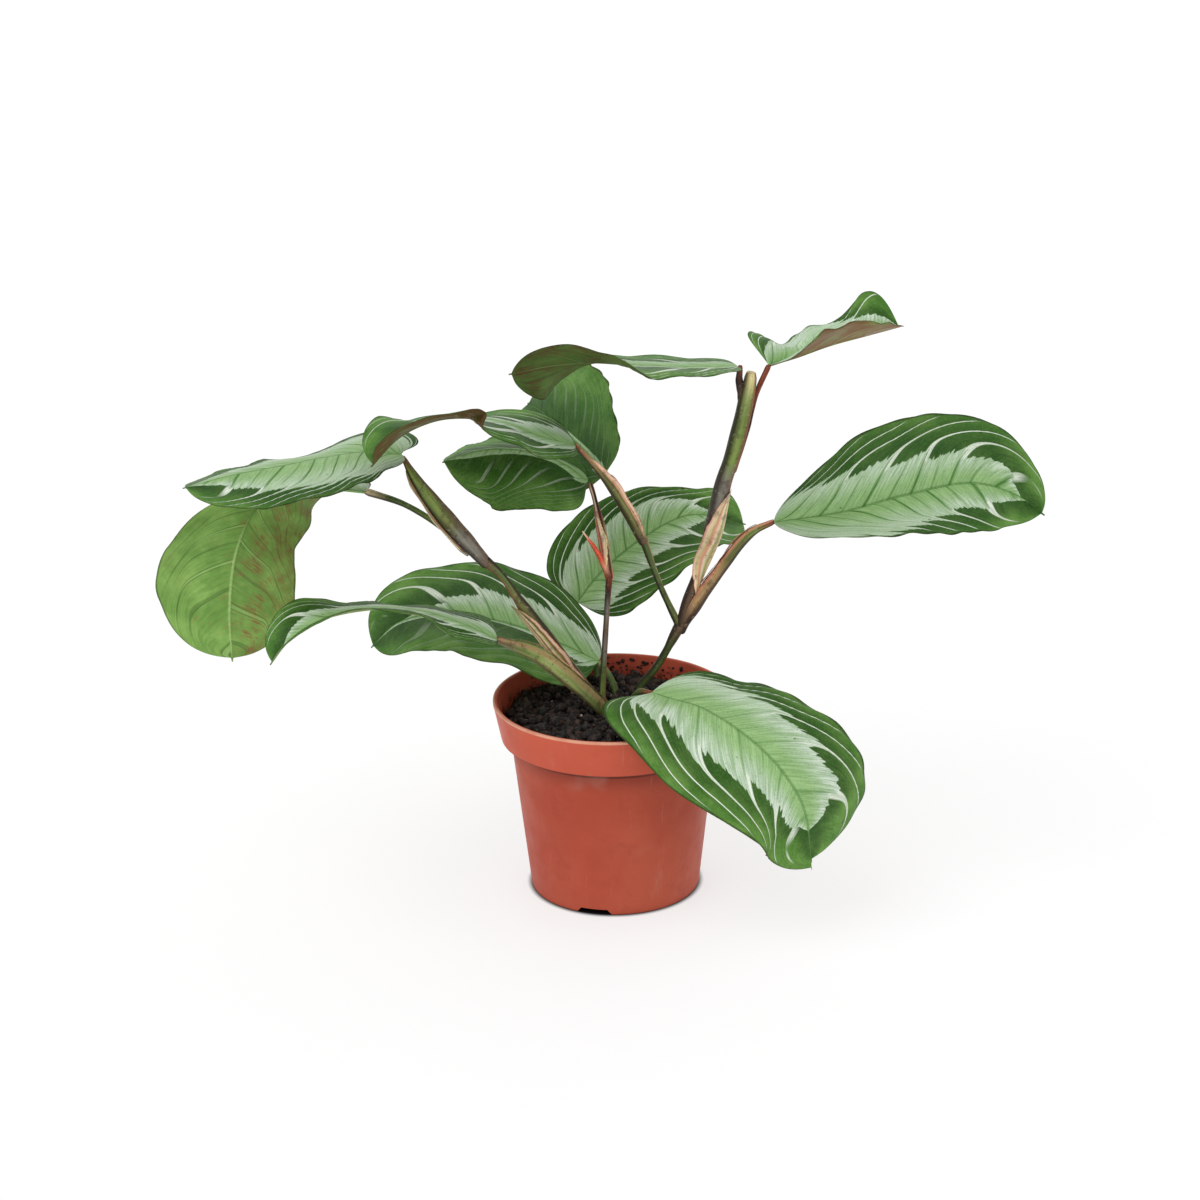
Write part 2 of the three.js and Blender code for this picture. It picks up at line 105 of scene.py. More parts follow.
def tint(tree, tone, share, colour):
    # the tone with a share of another colour, given as it reads on screen
    return mixColour(tree, share, tone, photoColour(*colour))


def speckle(tree, where, scale, detail=3.0, rough=0.55):
    settings = {"Vector": where, "Scale": scale, "Detail": detail, "Roughness": rough}
    return addNode(tree, "ShaderNodeTexNoise", settings).outputs[0]


def objectPlace(tree):
    return addNode(tree, "ShaderNodeTexCoord").outputs["Object"]


def split(tree, vector):
    return addNode(tree, "ShaderNodeSeparateXYZ", {0: vector}).outputs


def fromAxis(tree, x, y):
    return calc(tree, "SQRT", plus(tree, times(tree, x, x), times(tree, y, y)))


def joinVector(tree, x, y, z):
    return addNode(tree, "ShaderNodeCombineXYZ", {0: x, 1: y, 2: z}).outputs[0]


def newMaterial(name):
    material = bpy.data.materials.new(name)
    material.use_nodes = True
    tree = material.node_tree
    return material, tree, tree.nodes["Principled BSDF"]


def roughen(tree, shader, height, strength, distance):
    bump = addNode(tree, "ShaderNodeBump", {"Height": height, "Strength": strength, "Distance": distance})
    link(tree, bump.outputs[0], shader.inputs["Normal"])


# small tools for shapes
def along(values, s):
    # the smooth value at share s of a list of evenly spaced values, as in the solid model
    values = np.asarray(values, float)
    last = len(values) - 1
    place = np.minimum(np.asarray(s) * last, last - 1e-6)
    i = np.floor(place).astype(int)
    t = place - i
    before, a = values[np.maximum(i - 1, 0)], values[i]
    b, after = values[i + 1], values[np.minimum(i + 2, last)]
    rise, fall = (b - before) / 2, (after - a) / 2
    return a + t * (rise + t * (3 * (b - a) - 2 * rise - fall + t * (2 * (a - b) + rise + fall)))


def smoothRoute(points, shares):
    # places and directions at those shares of the length of the smooth curve through the points
    p = np.asarray(points, float)
    q = np.vstack([2 * p[0] - p[1], p, 2 * p[-1] - p[-2]])
    t = np.linspace(0, 1, 80, endpoint=False)[:, None]
    fine = []
    for a, b, c, d in zip(q, q[1:], q[2:], q[3:]):
        g, h, k = (max(float(np.sum((y - x) ** 2)) ** 0.25, 1e-4) for x, y in ((a, b), (b, c), (c, d)))
        m = ((b - a) / g - (c - a) / (g + h) + (c - b) / h) * h
        n = ((c - b) / h - (d - b) / (h + k) + (d - c) / k) * h
        fine.append(b + m * t + (3 * c - 3 * b - 2 * m - n) * t ** 2 + (2 * b - 2 * c + m + n) * t ** 3)
    fine = np.vstack([*fine, p[-1:]])
    length = np.concatenate([[0], np.cumsum(np.linalg.norm(np.diff(fine, axis=0), axis=1))])
    slope = np.gradient(fine, length, axis=0)
    wanted = np.asarray(shares) * length[-1]
    place = np.stack([np.interp(wanted, length, fine[:, k]) for k in range(3)], 1)
    ahead = np.stack([np.interp(wanted, length, slope[:, k]) for k in range(3)], 1)
    return place, ahead / np.linalg.norm(ahead, axis=1, keepdims=True)


def unit(vectors):
    return vectors / np.maximum(np.linalg.norm(vectors, axis=-1, keepdims=True), 1e-9)


def makePiece(name, points, faces, looks, nodes=(), faceLook=None):
    mesh = bpy.data.meshes.new(name)
    mesh.from_pydata((np.asarray(points) * mm).tolist(), [], faces)
    for look in looks:
        mesh.materials.append(look)
    if faceLook is not None:
        mesh.polygons.foreach_set("material_index", faceLook)
    mesh.polygons.foreach_set("use_smooth", [True] * len(mesh.polygons))
    mesh.update()
    piece = bpy.data.objects.new(name, mesh)
    bpy.context.collection.objects.link(piece)
    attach(piece, "root")
    if nodes:
        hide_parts(*nodes)
    return piece


def paint(piece, name, colours):
    layer = piece.data.color_attributes.new(name, "FLOAT_COLOR", "POINT")
    layer.data.foreach_set("color", np.asarray(colours, np.float32).ravel())


# camera, floor and light
camera = {
    "aim": (-5.8, 0, 151.2),
    "distance": 1500,
    "elevation": 20.1,
    "roll": -0.85,
    "lens": 91.4,
}


def makeCamera():
    data = bpy.data.cameras.new("camera")
    data.lens = camera["lens"]
    data.sensor_width = 36
    data.clip_end = 20
    eye = bpy.data.objects.new("camera", data)
    up = math.radians(camera["elevation"])
    back = Vector((0, -math.cos(up), math.sin(up)))
    eye.location = (Vector(camera["aim"]) + back * camera["distance"]) * mm
    turn = back.to_track_quat("Z", "Y").to_matrix().to_4x4()
    roll = Vector((0, 0, 1))
    eye.rotation_mode = "QUATERNION"
    eye.rotation_quaternion = turn.to_quaternion() @ Quaternion(roll, math.radians(camera["roll"]))
    bpy.context.collection.objects.link(eye)
    bpy.context.scene.camera = eye


studio = {
    "floorColour": (160, 160, 160), "floorDull": (157, 157, 157),
    "glow": 0.66,
    "footShade": (41.5, 45.5),
    "world": 0.7,
    "lamps": [
        {"name": "mainLamp", "turn": 215, "rise": 52, "soft": 50, "strength": 0.95},
        {"name": "fillLamp", "turn": 320, "rise": 35, "soft": 60, "strength": 0.15},
        {"name": "backLamp", "turn": 75, "rise": 40, "soft": 60, "strength": 0.25},
    ],
}


def makeStudio():
    mesh = bpy.data.meshes.new("floor")
    mesh.from_pydata([(-8, -5, 0), (8, -5, 0), (8, 16, 0), (-8, 16, 0)], [], [(0, 1, 2, 3)])
    floor = bpy.data.objects.new("floor", mesh)
    bpy.context.collection.objects.link(floor)
    material, tree, shader = newMaterial("floorWhite")
    where = objectPlace(tree)
    tone = tint(tree, photoColour(*studio["floorDull"]), speckle(tree, where, 3.0), studio["floorColour"])
    shader.inputs["Roughness"].default_value = 0.7
    shader.inputs["Specular IOR Level"].default_value = 0.2
    # the backdrop glows a little, so that the shadow on it stays as faint as on a lit studio table;
    # beneath the foot and in a thin ring around it, it neither glows nor shows its own tone: a painted dark
    # contact shadow
    x, y, _ = split(tree, where)
    inner, outer = studio["footShade"]
    lit = fade(tree, fromAxis(tree, x, y), inner * mm, outer * mm)
    link(tree, mixColour(tree, lit, (0, 0, 0, 1), (1, 1, 1, 1)), shader.inputs["Emission Color"])
    link(tree, mixColour(tree, lit, (0.01, 0.01, 0.01, 1), tone), shader.inputs["Base Color"])
    shader.inputs["Emission Strength"].default_value = studio["glow"]
    mesh.materials.append(material)
    world = bpy.data.worlds.new("world")
    world.use_nodes = True
    world.node_tree.nodes["Background"].inputs[0].default_value = (1, 1, 1, 1)
    world.node_tree.nodes["Background"].inputs[1].default_value = studio["world"]
    bpy.context.scene.world = world
    for lamp in studio["lamps"]:
        data = bpy.data.lights.new(lamp["name"], "SUN")
        data.angle = math.radians(lamp["soft"])
        data.energy = lamp["strength"]
        light = bpy.data.objects.new(lamp["name"], data)
        turn, rise = math.radians(lamp["turn"]), math.radians(lamp["rise"])
        toLamp = Vector((math.cos(turn) * math.cos(rise), math.sin(turn) * math.cos(rise), math.sin(rise)))
        light.location = toLamp * 2
        light.rotation_mode = "QUATERNION"
        light.rotation_quaternion = toLamp.to_track_quat("Z", "Y")
        bpy.context.collection.objects.link(light)
    bpy.context.scene.view_settings.view_transform = "Standard"


makeCamera()
makeStudio()
print("camera, floor and lamps are set")

# the pot
pot = {
    "rimRadius": 60, "height": 100, "footRadius": 42.5, "bodyTopRadius": 51.5,
    "collarHeight": 19.6, "collarFootRadius": 56.3, "wall": 1.6, "floor": 5, "lip": 0.7,
    "sides": 256, "channels": 3, "channelTurn": -15, "channelWidth": 18.5,
    "channelTopWidth": 13.5, "channelHeight": 3,
    "hubRadius": 15, "drainRadius": 4, "drainRing": 29,
    "clay": (172, 72, 51), "clayPale": (184, 86, 63), "clayDark": (148, 58, 42), "collarClay": (204, 92, 68),
    # seam: the colour of the painted shade line and band below the collar
    "lipHighlight": (226, 166, 138), "dust": (202, 166, 150), "seam": (70, 28, 22), "innerDustAndShade": (60, 34, 26),
    "innerRadius": 55.6, "innerSlope": 0.19,
}


def clayLook():
    material, tree, shader = newMaterial("clayPlastic")
    where = objectPlace(tree)
    x, y, z = split(tree, where)
    step, top, rim = ((pot["height"] - pot["collarHeight"]) * mm, pot["height"] * mm, pot["rimRadius"] * mm)
    broad = speckle(tree, where, 18, 4)
    tone = tint(tree, photoColour(*pot["clay"]), fade(tree, broad, 0.35, 0.68), pot["clayPale"])
    cloud = fade(tree, speckle(tree, where, 42, 6, 0.65), 0.55, 0.72)
    tone = tint(tree, tone, times(tree, cloud, 0.35), pot["clayDark"])
    # the collar is painted a brighter red than the body; just below its edge the body gets a painted shade
    # line and a softer painted shade band
    onCollar = fade(tree, z, step - 0.0001, step + 0.0001)
    tone = tint(tree, tone, times(tree, onCollar, fade(tree, broad, 0.3, 0.7, 0.5, 0.8)), pot["collarClay"])
    under = calc(tree, "MAXIMUM", fade(tree, z, step - 0.013, step - 0.002, 0.0, 0.3),
                 fade(tree, z, step - 0.0036, step - 0.0026, 0.0, 0.75))
    tone = tint(tree, tone, times(tree, under, fade(tree, z, step + 0.0006, step + 0.0003)), pot["seam"])
    # upright wipe marks and handling scuffs
    stretched = joinVector(tree, times(tree, x, 160), times(tree, y, 160), times(tree, z, 16))
    streak = fade(tree, speckle(tree, stretched, 1.0, 5, 0.7), 0.58, 0.75)
    tone = tint(tree, tone, times(tree, streak, 0.16), pot["dust"])
    smudge = fade(tree, speckle(tree, where, 26, 3, 0.5), 0.64, 0.76)
    tone = tint(tree, tone, times(tree, smudge, 0.18), pot["dust"])
    # the lip's rounded outer edge gets an uneven painted highlight
    radius = fromAxis(tree, x, y)
    lip = fade(tree, z, top - 0.0014, top - 0.0009)
    lip = times(tree, lip, fade(tree, radius, rim - 0.0012, rim - 0.0008))
    lipBreakup = fade(tree, speckle(tree, where, 90, 3), 0.3, 0.6, 0.6, 0.95)
    tone = tint(tree, tone, times(tree, lip, lipBreakup), pot["lipHighlight"])
    # soil dust on the inner wall, together with painted shade that deepens down the wall towards the soil
    rise = minus(tree, z, step + pot["wall"] * mm)
    outer = plus(tree, times(tree, rise, pot["innerSlope"]), pot["innerRadius"] * mm)
    inside = fade(tree, minus(tree, outer, radius), 0.0004, 0.0009)
    inside = times(tree, inside, fade(tree, z, step + 0.0004, step + 0.0008))
    crumbs = fade(tree, speckle(tree, where, 260, 4, 0.7), 0.5, 0.62)
    dustAndShadeShare = times(tree, fade(tree, z, top - 0.002, top - 0.012), fade(tree, crumbs, 0, 1, 0.25, 0.9))
    tone = tint(tree, tone, times(tree, inside, dustAndShadeShare), pot["innerDustAndShade"])
    link(tree, tone, shader.inputs["Base Color"])
    link(tree, fade(tree, speckle(tree, where, 60, 4), 0.3, 0.7, 0.42, 0.6), shader.inputs["Roughness"])
    shader.inputs["Specular IOR Level"].default_value = 0.16
    fine = plus(tree, speckle(tree, where, 420, 3), times(tree, speckle(tree, where, 50, 3), 2.0))
    roughen(tree, shader, fine, 0.25, 0.0004)
    return material


def roundedProfile(corners, reach, steps=4):
    # the same outline with each corner turned over a few short steps
    outline = []
    for k, corner in enumerate(corners):
        if k in (0, len(corners) - 1):
            outline.append(corner)
            continue
        here = np.array(corner, float)
        sides = []
        for other in (corners[k - 1], corners[k + 1]):
            way = np.array(other, float) - here
            sides.append(here + way / np.linalg.norm(way) * min(reach, np.linalg.norm(way) * 0.45))
        for t in np.linspace(0, 1, steps):
            outline.append(tuple((1 - t) ** 2 * sides[0] + 2 * t * (1 - t) * here + t * t * sides[1]))
    return outline


def potProfile():
    rim, top, lip, wall = pot["rimRadius"], pot["height"], pot["lip"], pot["wall"]
    body, foot, collar = pot["bodyTopRadius"], pot["footRadius"], pot["collarFootRadius"]
    step = top - pot["collarHeight"]
    inner = foot - wall + 0.3
    return roundedProfile([
        (0, 0), (foot - 0.6, 0), (foot, 0.6), (body, step - 0.2), (body + 0.2, step), (collar - 0.2, step),
        (collar, step + 0.3), (rim - 0.3, top - 2.4), (rim, top - 1.9), (rim, top - 0.2), (rim - 0.2, top),
        (rim - wall - 0.2, top), (rim - wall - 0.6, top - lip), (collar - wall, step + wall + 0.6),
        (collar - wall - 0.6, step + wall), (body - wall + 0.4, step + wall),
        (body - wall, step + wall - 0.6),
        (inner, pot["floor"] + 1), (inner - 1, pot["floor"]), (0, pot["floor"]),
    ], 0.5)


def turnedPoints(profile, sides, wobble=None):
    angle = np.arange(sides) * 2 * math.pi / sides
    points, faces = [(0, 0, profile[0][1])], []
    for r, z in profile[1:-1]:
        radius = r + (wobble(angle, z) if wobble else 0 * angle)
        points += list(zip(radius * np.cos(angle), radius * np.sin(angle), np.full(sides, z)))
    points.append((0, 0, profile[-1][1]))
    count, last = len(profile) - 2, len(points) - 1
    for k in range(sides):
        n = (k + 1) % sides
        faces.append((0, 1 + n, 1 + k))
        top = 1 + (count - 1) * sides
        faces.append((last, top + k, top + n))
        faces += [(1 + i * sides + k, 1 + i * sides + n, 1 + (i + 1) * sides + n, 1 + (i + 1) * sides + k)
                  for i in range(count - 1)]
    return points, faces


def channelCutter(turn):
    # a drainage channel across the foot, with the drain hole above it
    start, length = pot["hubRadius"], pot["footRadius"] - pot["hubRadius"] + 4
    high, narrow = pot["channelHeight"], pot["channelTopWidth"] / 2
    wide = pot["channelWidth"] - narrow
    mesh = bmesh.new()
    place = Matrix.Translation((start + length / 2, 0, 0))
    bmesh.ops.create_cube(mesh, size=1, matrix=place @ Matrix.Diagonal((length, 2, high * 2, 1)))
    for vert in mesh.verts:
        vert.co.y *= narrow if vert.co.z > 0 else wide
    drain, place = pot["drainRadius"], Matrix.Translation((pot["drainRing"], 0, 0))
    bmesh.ops.create_cone(mesh, cap_ends=True, segments=32, radius1=drain, radius2=drain, depth=30,
                          matrix=place)
    place = Matrix.Scale(mm, 4) @ Matrix.Rotation(math.radians(turn), 4, "Z")
    bmesh.ops.transform(mesh, matrix=place, verts=mesh.verts)
    return mesh


def carve(mesh, cutter):
    # the mesh with the cutter's shape taken out of it
    body = bpy.data.objects.new("body", mesh)
    tool = bpy.data.objects.new("tool", bpy.data.meshes.new("tool"))
    cutter.to_mesh(tool.data)
    cutter.free()
    for thing in (body, tool):
        bpy.context.collection.objects.link(thing)
    cut = body.modifiers.new("cut", "BOOLEAN")
    cut.object, cut.operation, cut.solver, cut.use_self = tool, "DIFFERENCE", "EXACT", True
    bpy.context.view_layer.update()
    result = bpy.data.meshes.new_from_object(body.evaluated_get(bpy.context.evaluated_depsgraph_get()))
    for thing in (body, tool):
        bpy.data.objects.remove(thing)
    return result


def makePot(look):
    def wobble(angle, z):
        # moulded walls are never quite true
        return 0.05 * np.sin(3 * angle + 0.02 * z) + 0.03 * np.sin(7 * angle + 1.1)
    points, faces = turnedPoints(potProfile(), pot["sides"], wobble)
    mesh = bpy.data.meshes.new("potBody")
    mesh.from_pydata((np.asarray(points) * mm).tolist(), [], faces)
    for k in range(pot["channels"]):
        mesh = carve(mesh, channelCutter(-90 + pot["channelTurn"] + 360 / pot["channels"] * k))
    mesh.materials.clear()
    mesh.materials.append(look)
    mesh.polygons.foreach_set("use_smooth", [True] * len(mesh.polygons))
    mesh.set_sharp_from_angle(angle=math.radians(38))
    shell = bpy.data.objects.new("potShell", mesh)
    bpy.context.collection.objects.link(shell)
    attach(shell, "root")
    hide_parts("pot")


makePot(clayLook())
print("the pot is turned and its foot is cut")

# the soil
soil = {
    "depth": 10, "rings": 150, "sides": 300, "roughness": 1.5, "gap": 0.4,
    "crumbs": 1700, "crumbSize": (0.8, 3.2), "crumbShares": (0.4, 0.5, 0.7, 1.0), "crumbReach": 52.5,
    "wallCrumbs": 60, "wallCrumbSize": (0.35, 1.0), "bits": 22, "bitSize": (0.4, 0.95), "bitReach": 50,
    "dark": (14, 9, 9), "brown": (86, 61, 51), "pale": (156, 128, 108), "grit": (206, 186, 170),
}


def soilHeight(x, y):
    mound = 3.6 * np.exp(-((x + 14) ** 2 + (y + 22) ** 2) / 900)
    dip = -1.4 * np.exp(-((x - 20) ** 2 + (y - 34) ** 2) / 500)
    dip = dip - 4.5 * np.exp(-((x + 56) ** 2 + (y - 6) ** 2) / 260)
    clods = 0.7 * np.sin(0.31 * x + 0.8) * np.sin(0.37 * y + 0.4)
    crumbs = 0.4 * np.sin(0.83 * x - 0.29 * y) * np.cos(0.71 * y + 0.33 * x)
    return pot["height"] - soil["depth"] + mound + dip + clods + crumbs


def soilLook():
    material, tree, shader = newMaterial("pottingSoil")
    where = objectPlace(tree)
    lumps = fade(tree, speckle(tree, where, 260, 6, 0.75), 0.46, 0.68)
    tone = tint(tree, photoColour(*soil["dark"]), lumps, soil["brown"])
    grain = fade(tree, speckle(tree, where, 900, 3, 0.6), 0.62, 0.69, 0.0, 0.34)
    tone = tint(tree, tone, grain, soil["pale"])
    link(tree, tone, shader.inputs["Base Color"])
    link(tree, fade(tree, speckle(tree, where, 500, 2), 0.3, 0.7, 0.55, 0.95), shader.inputs["Roughness"])
    roughen(tree, shader, speckle(tree, where, 1100, 5, 0.7), 0.7, 0.0006)
    return material


def gritLook():
    material, tree, shader = newMaterial("paleGrit")
    where = objectPlace(tree)
    tone = tint(tree, photoColour(*soil["pale"]), speckle(tree, where, 700, 4), soil["grit"])
    link(tree, tone, shader.inputs["Base Color"])
    shader.inputs["Roughness"].default_value = 0.85
    roughen(tree, shader, speckle(tree, where, 1500, 3), 0.4, 0.0003)
    return material


def wallInside(z):
    # the pot's inner radius, less the soil's gap
    foot = pot["height"] - pot["collarHeight"] + pot["wall"]
    share = (z - foot) / (pot["height"] - pot["lip"] - foot)
    inner = pot["collarFootRadius"] - pot["wall"]
    return inner + share * (pot["rimRadius"] - 0.6 - pot["collarFootRadius"]) - soil["gap"]


def makeSoil(look):
    shoulder = pot["height"] - pot["collarHeight"] + pot["wall"]
    gap, wall = soil["gap"], pot["wall"]
    outer = wallInside(pot["height"] - soil["depth"] - 2)
    angle = np.arange(soil["sides"]) * 2 * math.pi / soil["sides"]
    rows = []
    for number in range(1, soil["rings"] + 1):
        r = outer * number / soil["rings"]
        x, y = r * np.cos(angle), r * np.sin(angle)
        ring = list(zip(x, y))
        rough = np.array([noise.fractal(Vector((a * 0.16, b * 0.16, 3.1)), 0.8, 2.1, 6) for a, b in ring])
        lumps = np.array([noise.cell(Vector((a * 0.42, b * 0.42, 0.7))) for a, b in ring])
        rise = soil["roughness"] * rough + 0.35 * lumps
        rows.append(np.stack([x, y, soilHeight(x, y) + rise * min(1, (outer - r) / 1.5 + 0.25)], 1))
    names = ("collarFootRadius", "bodyTopRadius", "footRadius")
    collar, body, foot = (pot[name] - wall - gap for name in names)
    for r, z in [(wallInside(shoulder + 1), shoulder + 1 + gap), (collar - 0.8, shoulder + gap),
                 (body, shoulder + gap), (body - 0.1, shoulder - 0.8),
                 (foot + 0.1, pot["floor"] + 1), (foot - 1.2, pot["floor"] + gap)]:
        rows.append(np.stack([r * np.cos(angle), r * np.sin(angle), np.full(len(angle), z)], 1))
    points = np.vstack([[[0, 0, float(soilHeight(0, 0))]], *rows, [[0, 0, pot["floor"] + gap]]])
    sides, faces = soil["sides"], []
    for k in range(sides):
        n = (k + 1) % sides
        faces.append((0, 1 + k, 1 + n))
        faces += [(1 + i * sides + k, 1 + (i + 1) * sides + k, 1 + (i + 1) * sides + n, 1 + i * sides + n)
                  for i in range(len(rows) - 1)]
        low = 1 + (len(rows) - 1) * sides
        faces.append((len(points) - 1, low + n, low + k))
    makePiece("soilBed", points, faces, [look], ["soil"])


def lump(size, where, seed):
    # one crumb: a small rough ball
    ball = bmesh.new()
    bmesh.ops.create_icosphere(ball, subdivisions=2, radius=1)
    squash = [rng.uniform(0.6, 1.25) for _ in range(3)]
    points = []
    for vert in ball.verts:
        push = 1 + 0.45 * noise.noise(vert.co * 1.4 + Vector((seed * 3.7, seed * 1.3, 0)))
        points.append([where[k] + vert.co[k] * push * size * squash[k] for k in range(3)])
    faces = [tuple(v.index for v in face.verts) for face in ball.faces]
    ball.free()
    return points, faces


def gather(shapes):
    points, faces = [], []
    for some, corners in shapes:
        first = len(points)
        points += [tuple(p) for p in some]
        faces += [tuple(first + c for c in face) for face in corners]
    return points, faces


def makeCrumbs(soilMaterial, gritMaterial):
    shapes = []
    for k in range(soil["crumbs"]):
        r, a = soil["crumbReach"] * math.sqrt(rng.random()), rng.uniform(0, 2 * math.pi)
        x, y = r * math.cos(a), r * math.sin(a)
        size = rng.uniform(*soil["crumbSize"]) * rng.choice(soil["crumbShares"])
        shapes.append(lump(size, (x, y, float(soilHeight(x, y)) + size * rng.uniform(0.1, 0.9)), k))
    for k in range(soil["wallCrumbs"]):
        # crumbs that stick to the wall above the soil, mostly at the back
        a, z = rng.gauss(math.pi * 0.42, 0.35), pot["height"] - rng.uniform(1.5, 9)
        size = rng.uniform(*soil["wallCrumbSize"])
        r = wallInside(z) + soil["gap"] - size * 0.4
        shapes.append(lump(size, (r * math.cos(a), r * math.sin(a), z), 4000 + k))
    points, faces = gather(shapes)
    makePiece("soilCrumbs", points, faces, [soilMaterial])
    shapes = []
    for k in range(soil["bits"]):
        r, a = soil["bitReach"] * math.sqrt(rng.random()), rng.uniform(0, 2 * math.pi)
        x, y = r * math.cos(a), r * math.sin(a)
        size = rng.uniform(*soil["bitSize"])
        shapes.append(lump(size, (x, y, float(soilHeight(x, y)) + size + 0.8), 8000 + k))
    points, faces = gather(shapes)
    makePiece("soilGrit", points, faces, [gritMaterial])


soilMaterial = soilLook()
makeSoil(soilMaterial)
makeCrumbs(soilMaterial, gritLook())
print("the soil is filled in")

# stems and stalks
# tones along a stem or across a sheath, from its start to its end
stemTones = {
    "green": (86, 106, 60), "grey": (126, 122, 116), "brown": (108, 86, 72), "dusk": (38, 26, 24),
    "pink": (220, 150, 126), "pale": (150, 164, 104), "tan": (168, 136, 98), "straw": (220, 204, 152),
    "olive": (108, 110, 66), "rust": (128, 62, 44), "coral": (216, 88, 66), "cream": (240, 212, 186),
    "moss": (116, 134, 72),
}
